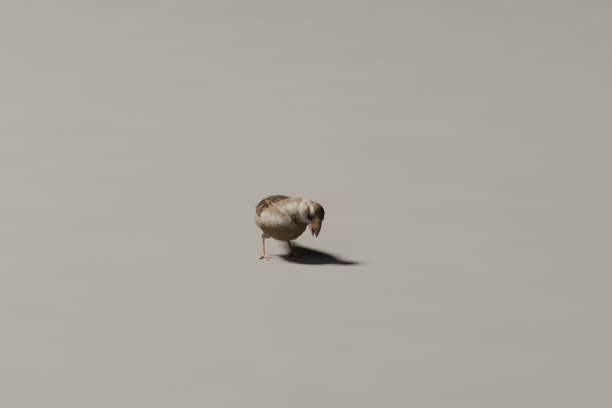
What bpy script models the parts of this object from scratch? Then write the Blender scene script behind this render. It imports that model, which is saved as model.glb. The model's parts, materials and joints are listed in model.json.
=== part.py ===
"""A life-size female house sparrow, standing with its neck bent to its left and its bill down to feed.

The bird is built facing -Y, with its left side at +X and the ground at Z = 0.  Its sizes are in
millimetres, as (forward, left, up) from the point on the ground under the middle of the trunk.
At the end everything is moved so that the origin is the bottom centre of the whole bird.
"""

import math

import bmesh
import bpy
from mathutils import Matrix, Vector

MM = 0.001
GAP = 0.3  # clearance between neighbouring pieces
CUT = 0.35  # how much a cutter is larger than the piece it makes room for

# Trunk: an egg lying along the bird, blunt at the breast and tapered at the rump
TRUNK_HALF_LENGTH = 32.5
TRUNK_HALF_WIDTH = 20.6
TRUNK_HALF_DEPTH = 18.6
TRUNK_MIDDLE_UP = 34.6
TRUNK_MIDDLE_FORWARD = -1.0
EGG_TAPER = 0.20
RUMP_RISE = 5.0

# Rounded masses that the neck and rump are blended from: (forward, left, up), (radii in the same order)
RUMP_FORMS = (
    ((-24.0, 1.2, 40.0), (16.0, 11.0, 8.8)),
    ((-30.0, 2.0, 38.0), (14.0, 8.0, 6.2)),
    ((-31.0, 2.2, 34.8), (15.0, 7.0, 4.6)),
)
NECK_FORMS = (
    ((13.0, 3.0, 41.6), (14.5, 15.0, 13.6)),
    ((19.5, 8.6, 43.6), (12.6, 13.0, 12.6)),
    ((25.0, 14.4, 44.6), (11.2, 11.6, 11.6)),
)

# Head: its own axes are along the bill, towards the crown and towards its right side
HEAD_MIDDLE = (30.0, 20.4, 40.6)  # the point midway between the eyes
HEAD_TURN = 22.0  # degrees to the left of straight ahead
HEAD_PITCH = 69.0  # degrees that the bill points below level
HEAD_ROLL = -22.0  # degrees that the crown then leans to the right, about the bill's line
HEAD_FORMS = (  # (along the bill, towards the crown, to the right), radii in the same order
    ((-2.9, 0.0, 0.0), (9.7, 9.1, 9.3)),
    ((-2.0, -4.0, 0.0), (8.8, 6.6, 9.4)),
    ((2.9, 0.4, 0.0), (6.2, 7.8, 7.4)),
)
NECK_PLANE = (0.0, -1.0, 9.0)  # its way along the bill and the crown, then its distance from the eyes
TRUNK_PLANE = ((15.0, 5.0, 42.0), (0.60, 0.52, 0.61))  # a point of it and its way

EYE_RADIUS = 3.3
EYE_FORWARD = 0.0
EYE_SIDE = 6.0

# Bill: two half cones whose flat sides face each other
BILL_BASE = 3.6  # where the mandibles start inside the face, along the bill from the eyes
UPPER_LENGTH = 14.7
UPPER_WIDTH = 8.4
UPPER_HEIGHT = 8.0
UPPER_HOOK = 1.2
LOWER_LENGTH = 13.9
LOWER_WIDTH = 7.4
LOWER_HEIGHT = 4.4
BILL_LEVEL = -3.4  # the line between the mandibles, towards the crown from the eyes
BILL_OPENING = 17.0  # degrees between the mandibles

# Folded wing: a curved plate lying on the side of the trunk and over the rump
WING_LENGTH = 75.0
WING_FRONT = 12.5
WING_THICK = 1.7
WING_EDGES = (  # share of the length from the bend of the wing, then its lower and upper edge in degrees
    (0.0, 6.0, 22.0),
    (0.07, -6.0, 36.0),
    (0.27, -14.0, 40.0),
    (0.52, -6.0, 46.0),
    (0.76, 10.0, 55.0),
    (0.93, 26.0, 70.0),
    (1.0, 40.0, 62.0),
)
SLEEVE = (  # forward, half width, half depth, middle height of the form that carries the wing tips
    (-28.0, 10.4, 8.0, 38.6),
    (-44.0, 8.2, 5.0, 33.6),
    (-57.0, 6.6, 3.4, 29.8),
)
REAR_SWING = (-8.0, 54.0, 5.4)  # from here back, over this length, the rear bends this far to the left

# Tail: twelve feathers closed into one narrow fan
TAIL_ROOT = (-28.0, 2.0, 38.0)
TAIL_LENGTH = 59.0
TAIL_DROOP = 10.0
TAIL_SWING = -7.0
TAIL_HALF_WIDTHS = ((0.0, 3.6), (0.35, 5.4), (0.75, 7.0), (1.0, 7.9))
TAIL_NOTCH = 2.4
TAIL_CAMBER = 1.3
TAIL_THICK = 1.2

# Legs: (forward, left, up) of each foot's middle, and offsets from it
FEET = {"right": (-5.0, -15.0), "left": (-4.0, 11.5)}
FOOT_UP = 1.15
HEEL_OFFSET = (-8.6, 2.8, 17.4)  # back, towards the body's middle, up
THIGH_TOP = (3.5, 6.0, 27.0)
THIGH_RADII = (5.6, 5.4, 4.3, 2.9, 1.8)
SHANK_RADII = (1.75, 1.25, 0.98, 0.92, 0.98, 1.2)
TOES = {  # degrees outwards from straight ahead, toe length, claw length
    "inner": (-33.0, 8.6, 4.2),
    "middle": (2.0, 12.2, 4.6),
    "outer": (37.0, 9.2, 4.0),
    "hind": (184.0, 7.0, 5.6),
}
TOE_RADIUS = 0.86
TOE_UP = 0.76
PAD_RADII = (2.3, 2.4, 1.6)
CLAW_RADIUS = 0.52

COLOURS = {  # sRGB hex, roughness
    "plumage_grey": ("b3a58f", 0.85),
    "plumage_brown": ("8a7458", 0.85),
    "wing_brown": ("6f5740", 0.75),
    "tail_brown": ("5e4c3a", 0.7),
    "bill_horn": ("c79a6f", 0.4),
    "eye_dark": ("120c08", 0.08),
    "leg_pink": ("b98d7b", 0.5),
    "claw_dark": ("3d3029", 0.4),
}


def point(forward, left, up):
    """A place on the bird as Blender's vector in metres."""
    return Vector((left, -forward, up)) * MM


def direction(forward, left, up):
    return Vector((left, -forward, up)).normalized()


def smooth_through(rows, x, column):
    """The value of one column at x, on a curve through the rows that keeps their rises and falls."""
    xs = [row[0] for row in rows]
    ys = [row[column] for row in rows]
    if xs[0] > xs[-1]:
        xs, ys = xs[::-1], ys[::-1]
    x = min(max(x, xs[0]), xs[-1])
    i = max(k for k in range(len(xs) - 1) if x >= xs[k])
    slopes = [(ys[k + 1] - ys[k]) / (xs[k + 1] - xs[k]) for k in range(len(xs) - 1)]

    def tangent(k):
        if k in (0, len(xs) - 1):
            return slopes[min(k, len(slopes) - 1)]
        if slopes[k - 1] * slopes[k] <= 0:
            return 0.0
        return 2 * slopes[k - 1] * slopes[k] / (slopes[k - 1] + slopes[k])

    width = xs[i + 1] - xs[i]
    t = (x - xs[i]) / width
    rise = (
        (2 * t**3 - 3 * t**2 + 1) * ys[i]
        + (t**3 - 2 * t**2 + t) * width * tangent(i)
        + (3 * t**2 - 2 * t**3) * ys[i + 1]
        + (t**3 - t**2) * width * tangent(i + 1)
    )
    return rise


# ---------------------------------------------------------------- scene helpers


def clear_scene():
    for obj in list(bpy.data.objects):
        bpy.data.objects.remove(obj)


def new_collection(name, hidden=False):
    made = bpy.data.collections.new(name)
    made.hide_render = hidden
    bpy.context.scene.collection.children.link(made)
    return made


def linear(channel):
    return channel / 12.92 if channel <= 0.04045 else ((channel + 0.055) / 1.055) ** 2.4


def new_material(name):
    colour, roughness = COLOURS[name]
    material = bpy.data.materials.new(name)
    material.use_nodes = True
    shader = material.node_tree.nodes["Principled BSDF"]
    channels = [linear(int(colour[i : i + 2], 16) / 255) for i in (0, 2, 4)]
    shader.inputs["Base Color"].default_value = (*channels, 1.0)
    shader.inputs["Roughness"].default_value = roughness
    shader.inputs["Metallic"].default_value = 0.0
    return material


def mesh_object(name, bm, collection, material=None):
    mesh = bpy.data.meshes.new(name)
    bm.to_mesh(mesh)
    bm.free()
    obj = bpy.data.objects.new(name, mesh)
    collection.objects.link(obj)
    if material:
        mesh.materials.append(material)
        mesh.shade_smooth()
        mesh.set_sharp_from_angle(angle=math.radians(50))
    return obj


def as_cutter(obj):
    obj.hide_render = True
    obj.display_type = "WIRE"
    return obj


def apply_modifiers(obj):
    """Replaces the object's mesh by its evaluated one and drops the modifiers."""
    bpy.context.view_layer.update()
    graph = bpy.context.evaluated_depsgraph_get()
    mesh = bpy.data.meshes.new_from_object(obj.evaluated_get(graph))
    obj.modifiers.clear()
    obj.data = mesh
    return obj


def boolean(obj, operation, other):
    modifier = obj.modifiers.new(operation.lower(), "BOOLEAN")
    modifier.operation = operation
    modifier.object = other
    apply_modifiers(obj)
    return obj


def largest_body(obj):
    """Drops the crumbs that a cut can leave, keeping the piece with the most faces."""
    bm = bmesh.new()
    bm.from_mesh(obj.data)
    left = set(bm.verts)
    bodies = []
    while left:
        stack = [left.pop()]
        body = set(stack)
        while stack:
            for edge in stack.pop().link_edges:
                for vert in edge.verts:
                    if vert in left:
                        left.remove(vert)
                        body.add(vert)
                        stack.append(vert)
        bodies.append(body)
    bodies.sort(key=len)
    crumbs = [vert for body in bodies[:-1] for vert in body]
    bmesh.ops.delete(bm, geom=crumbs, context="VERTS")
    bm.to_mesh(obj.data)
    bm.free()
    return obj


# ---------------------------------------------------------------- head axes


def head_axes():
    """Unit vectors along the bill, towards the crown and to the head's right."""
    turn, pitch = math.radians(HEAD_TURN), math.radians(HEAD_PITCH)
    level = direction(math.cos(turn), math.sin(turn), 0.0)
    up = Vector((0, 0, 1))
    along = level * math.cos(pitch) - up * math.sin(pitch)
    crown = level * math.sin(pitch) + up * math.cos(pitch)
    right = direction(math.sin(turn), -math.cos(turn), 0.0)
    roll = Matrix.Rotation(math.radians(HEAD_ROLL), 3, along)
    crown, right = roll @ crown, roll @ right
    return along, crown, right


def head_frame():
    """The matrix from head coordinates (along, crown, right, in metres) to the bird's."""
    matrix = Matrix([list(axis) for axis in head_axes()]).transposed().to_4x4()
    matrix.translation = point(*HEAD_MIDDLE)
    return matrix


# ---------------------------------------------------------------- shapes


def ellipsoid(bm, centre, radii, matrix=None, detail=4):
    """Adds an ellipsoid to bm. Without a matrix, centre and radii are (forward, left, up)."""
    if matrix is None:
        matrix = Matrix.Translation(point(*centre))
        radii = (radii[1], radii[0], radii[2])
    else:
        matrix = matrix @ Matrix.Translation(Vector(centre) * MM)
    size = Matrix.Diagonal((*(Vector(radii) * MM), 1.0))
    bmesh.ops.create_icosphere(bm, subdivisions=detail, radius=1.0, matrix=matrix @ size)


def swing(forward):
    """How far to the left the bird's middle line lies at that place."""
    start, length, reach = REAR_SWING
    share = max(0.0, (start - forward) / length)
    return reach * share**1.5


def trunk_section(forward):
    """(half width, half depth, middle height) of the trunk's oval section at that place."""
    share = (forward - TRUNK_MIDDLE_FORWARD) / TRUNK_HALF_LENGTH
    inside = math.sqrt(max(0.0, 1.0 - share**2)) * (1.0 + EGG_TAPER * share)
    middle = TRUNK_MIDDLE_UP + RUMP_RISE * ((1.0 - share) / 2) ** 2
    return TRUNK_HALF_WIDTH * inside, TRUNK_HALF_DEPTH * inside, middle


def trunk_egg(bm):
    made = bmesh.ops.create_uvsphere(bm, u_segments=40, v_segments=28, radius=1.0)
    for vert in made["verts"]:
        across, up, share = vert.co
        forward = TRUNK_MIDDLE_FORWARD + share * TRUNK_HALF_LENGTH
        width, depth, middle = trunk_section(forward)
        ring = math.hypot(across, up) or 1.0
        left = swing(forward) + across / ring * width
        vert.co = point(forward, left, middle + up / ring * depth)


def body_form(collection, material):
    """Trunk, neck and head as one smooth closed surface, before it is parted."""
    bm = bmesh.new()
    trunk_egg(bm)
    for centre, radii in RUMP_FORMS + NECK_FORMS:
        ellipsoid(bm, centre, radii)
    for centre, radii in HEAD_FORMS:
        ellipsoid(bm, centre, radii, head_frame())
    bmesh.ops.recalc_face_normals(bm, faces=bm.faces)
    body = mesh_object("body_form", bm, collection, material)
    remesh = body.modifiers.new("one_surface", "REMESH")
    remesh.mode = "VOXEL"
    remesh.voxel_size = 1.25 * MM
    smooth = body.modifiers.new("soften", "SMOOTH")
    smooth.factor = 0.5
    smooth.iterations = 14
    lighter = body.modifiers.new("fewer_faces", "DECIMATE")
    lighter.ratio = 0.105
    lighter.use_collapse_triangulate = True
    return apply_modifiers(body)


def half_space(name, place, way, grow, collection):
    """A large block that fills everything on the far side of a plane, in the plane's own direction."""
    way = way.normalized()
    turned = way.to_track_quat("Z", "Y").to_matrix().to_4x4()
    turned.translation = place - way * (grow * MM)
    size = 200.0
    bm = bmesh.new()
    lift = Matrix.Translation(Vector((0, 0, size / 2)) * MM)
    bmesh.ops.create_cube(bm, size=size * MM, matrix=turned @ lift)
    bmesh.ops.recalc_face_normals(bm, faces=bm.faces)
    return as_cutter(mesh_object(name, bm, collection))


def beyond_neck(grow, collection):
    """Everything on the body's side of the plane between head and neck."""
    along, crown, _ = head_axes()
    way = along * NECK_PLANE[0] + crown * NECK_PLANE[1]
    place = point(*HEAD_MIDDLE) + way.normalized() * (NECK_PLANE[2] * MM)
    return half_space("beyond_neck", place, way, grow, collection)


def ahead_of_trunk(grow, collection):
    """Everything on the neck's side of the plane between trunk and neck."""
    place, way = TRUNK_PLANE
    return half_space("ahead_of_trunk", point(*place), direction(*way), grow, collection)


def copy_of(obj, name, collection):
    made = bpy.data.objects.new(name, obj.data.copy())
    collection.objects.link(made)
    return made


def eye_ball(side, grow, collection, material=None):
    sign = 1.0 if side == "right" else -1.0
    bm = bmesh.new()
    radius = (EYE_RADIUS + grow) * MM
    centre = Matrix.Translation(Vector((EYE_FORWARD, 0.0, sign * EYE_SIDE)) * MM)
    bmesh.ops.create_uvsphere(
        bm, u_segments=16, v_segments=10, radius=radius, matrix=head_frame() @ centre
    )
    return mesh_object(f"eye_{side}" if material else f"eye_{side}_room", bm, collection, material)


def mandible(name, upper, grow, collection, material=None):
    """One half of the bill: D-shaped sections that shrink along a slightly curved line."""
    length = UPPER_LENGTH if upper else LOWER_LENGTH
    width = (UPPER_WIDTH if upper else LOWER_WIDTH) / 2 + grow
    height = (UPPER_HEIGHT if upper else LOWER_HEIGHT) + 2 * grow
    sign = 1.0 if upper else -1.0
    sections, around = 10, 12
    bm = bmesh.new()
    rings = []
    for i in range(sections):
        t = i / (sections - 1)
        full = 1.0 - t**1.55
        half = max(width * full, 0.28 + grow)
        dome = max(height * (1.0 - t**1.8), 0.42 + grow)
        hook = -UPPER_HOOK * t**3 if upper else 0.35 * t**2
        along = t * (length + grow) - (grow if i == 0 else 0.0)
        ring = []
        for k in range(around):
            angle = math.pi * k / (around - 1)
            across = half * math.cos(angle)
            rise = sign * (dome * math.sin(angle) ** 0.85 - grow) + hook
            ring.append(bm.verts.new(Vector((along, rise, across)) * MM))
        rings.append(ring)
    for first, second in zip(rings, rings[1:]):
        for k in range(around):
            n = (k + 1) % around
            bm.faces.new((first[k], first[n], second[n], second[k]))
    bm.faces.new(rings[0])
    bm.faces.new(rings[-1])
    bmesh.ops.recalc_face_normals(bm, faces=bm.faces)
    open_by = math.radians(BILL_OPENING * (0.15 if upper else -0.85))
    level = BILL_LEVEL + (GAP / 2 if upper else -GAP / 2 - 0.1)
    hinge = Matrix.Translation(Vector((BILL_BASE, level, 0.0)) * MM)
    bm.transform(head_frame() @ hinge @ Matrix.Rotation(open_by, 4, "Z"))
    return mesh_object(name, bm, collection, material)


# ---------------------------------------------------------------- wings and tail


def wing_section(forward):
    """(half width, half depth, middle height) of the form the folded wing lies on."""
    width, depth, middle = trunk_section(forward)
    sleeve = [smooth_through(SLEEVE, forward, column) for column in (1, 2, 3)]
    power = 6
    share = min(1.0, max(0.0, (-forward - 12.0) / 20.0))
    blend = share * share * (3 - 2 * share)
    return (
        (width**power + sleeve[0] ** power) ** (1 / power),
        (depth**power + sleeve[1] ** power) ** (1 / power),
        middle + (sleeve[2] - middle) * blend,
    )


def wing_plate(name, side, grow, collection, material=None):
    """The folded wing as a curved sheet given thickness outwards from the body."""
    sign = -1.0 if side == "right" else 1.0
    along, across = 16, 9
    bm = bmesh.new()
    grid = []
    for i in range(along):
        t = i / (along - 1)
        forward = WING_FRONT + grow - t * (WING_LENGTH + 2 * grow)
        width, depth, middle = wing_section(min(forward, WING_FRONT))
        lower = smooth_through(WING_EDGES, t, 1)
        upper = smooth_through(WING_EDGES, t, 2)
        spare = math.degrees(grow / max(depth, 6.0))
        row = []
        for k in range(across):
            share = k / (across - 1)
            angle = math.radians(lower - spare + (upper - lower + 2 * spare) * share)
            out = (width + GAP) * math.cos(angle)
            up = middle + (depth + GAP) * math.sin(angle)
            row.append(bm.verts.new(point(forward, sign * out + swing(forward), up)))
        grid.append(row)
    for first, second in zip(grid, grid[1:]):
        for k in range(across - 1):
            bm.faces.new((first[k], first[k + 1], second[k + 1], second[k]))
    bmesh.ops.recalc_face_normals(bm, faces=bm.faces)
    outwards = sum((f.normal.x for f in bm.faces)) * sign > 0
    if not outwards:
        bmesh.ops.reverse_faces(bm, faces=bm.faces)
    wing = mesh_object(name, bm, collection, material)
    shell = wing.modifiers.new("thickness", "SOLIDIFY")
    shell.thickness = (WING_THICK + 2 * grow) * MM
    shell.offset = 1.0 if not grow else 1.0 - 2 * grow / (WING_THICK + 2 * grow)
    shell.use_even_offset = True
    return apply_modifiers(wing)


def tail_fan(name, grow, collection, material=None):
    """The closed tail: a thin sheet a little arched across, with a shallow notch at its end."""
    along, across = 10, 9
    back = Matrix.Rotation(math.radians(TAIL_SWING), 4, "Z") @ Matrix.Rotation(
        math.radians(-TAIL_DROOP), 4, "X"
    )
    bm = bmesh.new()
    grid = []
    for i in range(along):
        t = i / (along - 1)
        half = smooth_through(TAIL_HALF_WIDTHS, t, 1) + grow
        row = []
        for k in range(across):
            share = 2 * k / (across - 1) - 1
            corner = 3.2 * max(0.0, abs(share) - 0.72) ** 1.5
            length = TAIL_LENGTH - TAIL_NOTCH * (1 - abs(share)) - corner * 4 + 2 * grow
            arch = TAIL_CAMBER * (0.5 - share**2)
            row.append(bm.verts.new(Vector((half * share, length * t - grow, arch)) * MM))
        grid.append(row)
    for first, second in zip(grid, grid[1:]):
        for k in range(across - 1):
            bm.faces.new((first[k], first[k + 1], second[k + 1], second[k]))
    bmesh.ops.recalc_face_normals(bm, faces=bm.faces)
    bm.transform(Matrix.Translation(point(*TAIL_ROOT)) @ back)
    tail = mesh_object(name, bm, collection, material)
    shell = tail.modifiers.new("thickness", "SOLIDIFY")
    shell.thickness = (TAIL_THICK + 2 * grow) * MM
    shell.offset = 0.0
    return apply_modifiers(tail)


# ---------------------------------------------------------------- legs


def tube(name, places, radii, collection, material=None, sides=2):
    """A round bar through the places, with a radius at each, as a closed mesh."""
    curve = bpy.data.curves.new(name, "CURVE")
    curve.dimensions = "3D"
    curve.bevel_depth = 1.0
    curve.bevel_resolution = sides
    curve.use_fill_caps = True
    spline = curve.splines.new("POLY")
    spline.points.add(len(places) - 1)
    for control, place, radius in zip(spline.points, places, radii):
        control.co = (*place, 1.0)
        control.radius = radius * MM
    guide = bpy.data.objects.new(name + "_guide", curve)
    collection.objects.link(guide)
    bpy.context.view_layer.update()
    graph = bpy.context.evaluated_depsgraph_get()
    mesh = bpy.data.meshes.new_from_object(guide.evaluated_get(graph))
    bpy.data.objects.remove(guide)
    bm = bmesh.new()
    bm.from_mesh(mesh)
    bmesh.ops.remove_doubles(bm, verts=bm.verts, dist=1e-6)
    bmesh.ops.recalc_face_normals(bm, faces=bm.faces)
    return mesh_object(name, bm, collection, material)


def bent_line(start, end, sag, count):
    """Places on a line from start to end that bows by sag at its middle."""
    places = []
    for i in range(count):
        t = i / (count - 1)
        places.append(start.lerp(end, t) + sag * (4 * t * (1 - t)))
    return places


def flat_underneath(obj):
    """Cuts the piece off level with the ground, which leaves it a small flat to stand on."""
    bm = bmesh.new()
    bm.from_mesh(obj.data)
    everything = list(bm.verts) + list(bm.edges) + list(bm.faces)
    bmesh.ops.bisect_plane(
        bm, geom=everything, plane_co=(0, 0, 0), plane_no=(0, 0, 1), clear_inner=True
    )
    rim = [edge for edge in bm.edges if edge.is_boundary]
    bmesh.ops.edgeloop_fill(bm, edges=rim)
    bmesh.ops.recalc_face_normals(bm, faces=bm.faces)
    bm.to_mesh(obj.data)
    bm.free()
    return obj


def joints_of(side):
    """Places of the foot, the heel and the top of the thigh."""
    forward, left = FEET[side]
    inwards = 1.0 if side == "right" else -1.0
    foot = point(forward, left, FOOT_UP)
    heel = point(forward + HEEL_OFFSET[0], left + inwards * HEEL_OFFSET[1], HEEL_OFFSET[2])
    top = point(forward + THIGH_TOP[0], left + inwards * THIGH_TOP[1], THIGH_TOP[2])
    return foot, heel, top


def shank(side, grow, collection, material=None):
    foot, heel, _ = joints_of(side)
    above = heel + (heel - foot).normalized() * 0.6 * MM
    places = bent_line(above, foot, point(-0.5, 0, 0), len(SHANK_RADII))
    radii = [radius + grow for radius in SHANK_RADII]
    return tube(f"shank_{side}" if material else f"shank_{side}_room", places, radii, collection, material)


def thigh(side, grow, collection, material=None):
    _, heel, top = joints_of(side)
    places = bent_line(top, heel, point(0.6, 0, -0.8), len(THIGH_RADII))
    radii = [radius + grow for radius in THIGH_RADII]
    name = f"thigh_{side}" if material else f"thigh_{side}_room"
    return tube(name, places, radii, collection, material, sides=3)


def foot_pad(side, grow, collection, material=None):
    foot, _, _ = joints_of(side)
    bm = bmesh.new()
    radii = Vector((PAD_RADII[0], PAD_RADII[1], PAD_RADII[2])) + Vector((grow, grow, grow))
    size = Matrix.Diagonal((*(radii * MM), 1.0))
    bmesh.ops.create_uvsphere(
        bm, u_segments=14, v_segments=8, radius=1.0, matrix=Matrix.Translation(foot) @ size
    )
    return mesh_object(f"foot_{side}" if material else f"foot_{side}_room", bm, collection, material)


def toe_line(side, toe):
    """(where the toe starts, its unit direction along the ground, its length)."""
    angle, length, _ = TOES[toe]
    outwards = -1.0 if side == "right" else 1.0
    turn = math.radians(angle)
    way = direction(math.cos(turn), outwards * math.sin(turn), 0.0)
    forward, left = FEET[side]
    return point(forward, left, 0.0), way, length


def toe_bar(side, toe, collection, material):
    root, way, length = toe_line(side, toe)
    places, radii = [], []
    knuckles = 9
    for i in range(knuckles):
        t = i / (knuckles - 1)
        pad = 1.0 + 0.10 * math.cos(2 * math.pi * t * 3)
        radius = TOE_RADIUS * pad * (1.0 - 0.18 * t)
        places.append(root + way * ((1.6 + (length - 1.6) * t) * MM) + Vector((0, 0, TOE_UP * MM)))
        radii.append(radius)
    return tube(f"toe_{side}_{toe}", places, radii, collection, material)


def claw_hook(side, toe, collection, material):
    root, way, length = toe_line(side, toe)
    claw_length = TOES[toe][2]
    places, radii = [], []
    steps = 7
    for i in range(steps):
        t = i / (steps - 1)
        reach = length + GAP + claw_length * math.sin(t * math.radians(78)) * 0.92
        rise = TOE_UP + 0.18 + 0.34 * math.sin(math.pi * t) - 0.72 * t**2
        places.append(root + way * (reach * MM) + Vector((0, 0, rise * MM)))
        radii.append(CLAW_RADIUS * (1 - t) ** 0.8 + 0.10)
    return tube(f"claw_{side}_{toe}", places, radii, collection, material)


# ---------------------------------------------------------------- assembly


def build_body(parts, cutters, materials):
    grey, brown = materials["plumage_grey"], materials["plumage_brown"]
    whole = body_form(parts, grey)
    head = copy_of(whole, "head", parts)
    boolean(head, "DIFFERENCE", beyond_neck(0.0, cutters))
    trunk = copy_of(whole, "trunk", parts)
    boolean(trunk, "DIFFERENCE", ahead_of_trunk(GAP, cutters))
    neck = copy_of(whole, "neck", parts)
    boolean(neck, "INTERSECT", ahead_of_trunk(0.0, cutters))
    boolean(neck, "INTERSECT", beyond_neck(-GAP, cutters))
    bpy.data.objects.remove(whole)
    for piece, material in ((head, brown), (neck, grey), (trunk, grey)):
        largest_body(piece)
        piece.data.materials.clear()
        piece.data.materials.append(material)
    return trunk, neck, head


def build_head_details(head, parts, cutters, materials):
    for side in ("right", "left"):
        boolean(head, "DIFFERENCE", as_cutter(eye_ball(side, CUT, cutters)))
        eye_ball(side, 0.0, parts, materials["eye_dark"])
    for name, upper in (("bill_upper", True), ("bill_lower", False)):
        boolean(head, "DIFFERENCE", as_cutter(mandible(name + "_room", upper, CUT, cutters)))
        mandible(name, upper, 0.0, parts, materials["bill_horn"])
    largest_body(head)


def build_wings_and_tail(trunk, neck, parts, cutters, materials):
    boolean(trunk, "DIFFERENCE", as_cutter(tail_fan("tail_room", CUT, cutters)))
    tail = tail_fan("tail", 0.0, parts, materials["tail_brown"])
    for side in ("right", "left"):
        room = as_cutter(wing_plate(f"wing_{side}_room", side, CUT, cutters))
        for piece in (trunk, neck, tail):
            boolean(piece, "DIFFERENCE", room)
        wing_plate(f"wing_{side}", side, 0.0, parts, materials["wing_brown"])
    for piece in (trunk, neck, tail):
        largest_body(piece)


def build_leg(side, trunk, parts, cutters, materials):
    pink, dark = materials["leg_pink"], materials["claw_dark"]
    leg = shank(side, 0.0, parts, pink)
    upper = thigh(side, 0.0, parts, materials["plumage_grey"])
    boolean(upper, "DIFFERENCE", as_cutter(shank(side, CUT, cutters)))
    boolean(trunk, "DIFFERENCE", as_cutter(thigh(side, CUT, cutters)))
    room = as_cutter(foot_pad(side, CUT, cutters))
    boolean(leg, "DIFFERENCE", room)
    flat_underneath(foot_pad(side, 0.0, parts, pink))
    for toe in TOES:
        bar = toe_bar(side, toe, parts, pink)
        boolean(bar, "DIFFERENCE", room)
        flat_underneath(bar)
        flat_underneath(claw_hook(side, toe, parts, dark))


def centre_on_ground(parts):
    """Moves the bird so that the origin is the bottom centre of its box."""
    bpy.context.view_layer.update()
    low, high = Vector((1e9,) * 3), Vector((-1e9,) * 3)
    for obj in parts.objects:
        for vert in obj.data.vertices:
            low = Vector(map(min, low, vert.co))
            high = Vector(map(max, high, vert.co))
    shift = Vector((-(low.x + high.x) / 2, -(low.y + high.y) / 2, -low.z))
    for obj in parts.objects:
        obj.data.transform(Matrix.Translation(shift))
    print("moved by", [round(v / MM, 3) for v in shift], "mm")


def main():
    clear_scene()
    parts = new_collection("house_sparrow")
    cutters = new_collection("cutters", hidden=True)
    materials = {name: new_material(name) for name in COLOURS}
    trunk, neck, head = build_body(parts, cutters, materials)
    build_head_details(head, parts, cutters, materials)
    build_wings_and_tail(trunk, neck, parts, cutters, materials)
    for side in FEET:
        build_leg(side, trunk, parts, cutters, materials)
    largest_body(trunk)
    centre_on_ground(parts)


main()
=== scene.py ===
# %% [markdown]
# # A feeding house sparrow
#
# This lesson dresses a packed set of plain solids as a museum model of a hen house sparrow.
# The solids say where everything is.  Here one skin is laid just inside them, and feathers,
# lids, horn, scales and eyes are built over it.  All sizes are in millimetres until a mesh is
# made, because that is how a bird in the hand is measured.

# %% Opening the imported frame
import json
import math
import bmesh
import bpy
import numpy as np
from mathutils import Matrix, Vector
from mathutils.bvhtree import BVHTree

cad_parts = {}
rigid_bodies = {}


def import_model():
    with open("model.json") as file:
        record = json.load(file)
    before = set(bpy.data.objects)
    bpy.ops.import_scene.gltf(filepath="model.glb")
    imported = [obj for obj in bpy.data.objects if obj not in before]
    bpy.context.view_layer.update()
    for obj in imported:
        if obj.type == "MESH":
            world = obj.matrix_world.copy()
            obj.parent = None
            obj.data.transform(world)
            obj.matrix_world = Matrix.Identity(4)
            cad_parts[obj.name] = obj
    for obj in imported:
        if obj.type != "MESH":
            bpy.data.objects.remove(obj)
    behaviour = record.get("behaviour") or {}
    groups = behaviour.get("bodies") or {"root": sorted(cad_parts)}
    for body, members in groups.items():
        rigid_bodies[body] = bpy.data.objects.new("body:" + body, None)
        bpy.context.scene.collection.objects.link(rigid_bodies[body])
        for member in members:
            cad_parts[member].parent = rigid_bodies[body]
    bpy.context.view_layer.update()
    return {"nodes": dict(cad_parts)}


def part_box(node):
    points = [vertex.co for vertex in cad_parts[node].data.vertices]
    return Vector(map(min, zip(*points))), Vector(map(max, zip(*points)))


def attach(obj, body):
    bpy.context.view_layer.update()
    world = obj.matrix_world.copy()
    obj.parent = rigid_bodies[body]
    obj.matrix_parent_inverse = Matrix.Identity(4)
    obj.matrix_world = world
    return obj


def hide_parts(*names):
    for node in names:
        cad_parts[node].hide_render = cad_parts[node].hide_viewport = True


for left_over in list(bpy.data.objects):
    bpy.data.objects.remove(left_over)
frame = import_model()
MM = 0.001
chance = np.random.default_rng(11)
print("packed solids:", len(frame["nodes"]))

# %% [markdown]
# ## Small helpers
#
# Paints are chosen as sRGB hex, the way a colour chart gives them, and turned to linear light by
# one function.  Node trees are built with one function that adds a node, sets it and links it.
# Three more hold what every finish shares: its shader, its mottling, and its relief.


# %% Paint, nodes and curves
def paint(code):
    """An sRGB hex colour as linear red, green and blue."""
    values = np.array([int(code[i : i + 2], 16) / 255 for i in (0, 2, 4)])
    return np.where(values <= 0.04045, values / 12.92, ((values + 0.055) / 1.055) ** 2.4)


def add(tree, kind, settings=None, **sockets):
    """Adds a node: settings are its properties, and sockets its inputs, as values, sockets to
    link, or nodes whose first output is linked."""
    node = tree.nodes.new(kind)
    for name, value in (settings or {}).items():
        setattr(node, name, value)
    for name, value in sockets.items():
        key = int(name[1:]) if name[0] == "i" and name[1:].isdigit() else name.replace("_", " ")
        socket = node.inputs[key]
        if isinstance(value, bpy.types.Node):
            value = value.outputs[0]
        if isinstance(value, bpy.types.NodeSocket):
            tree.links.new(value, socket)
        else:
            socket.default_value = value
    return node


def rgba(code):
    return (*paint(code), 1.0)


PLUS, MINUS, TIMES = ({"operation": word} for word in ("ADD", "SUBTRACT", "MULTIPLY"))


def principled(name, rough, specular=0.5):
    """A new material, its node tree and its shader."""
    material = bpy.data.materials.new(name)
    material.use_nodes = True
    shader = material.node_tree.nodes["Principled BSDF"]
    shader.inputs["Roughness"].default_value = rough
    shader.inputs["Specular IOR Level"].default_value = specular
    return material, material.node_tree, shader


def mottled(tree, where, scale, detail, low, high, rough=0.5):
    """A noise that lightens and darkens a tone, from low to high times."""
    noise = add(tree, "ShaderNodeTexNoise", Vector=where, Scale=scale, Detail=detail, Roughness=rough)
    return add(tree, "ShaderNodeMapRange", Value=noise, i1=0.3, i2=0.7, i3=low, i4=high)


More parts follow.
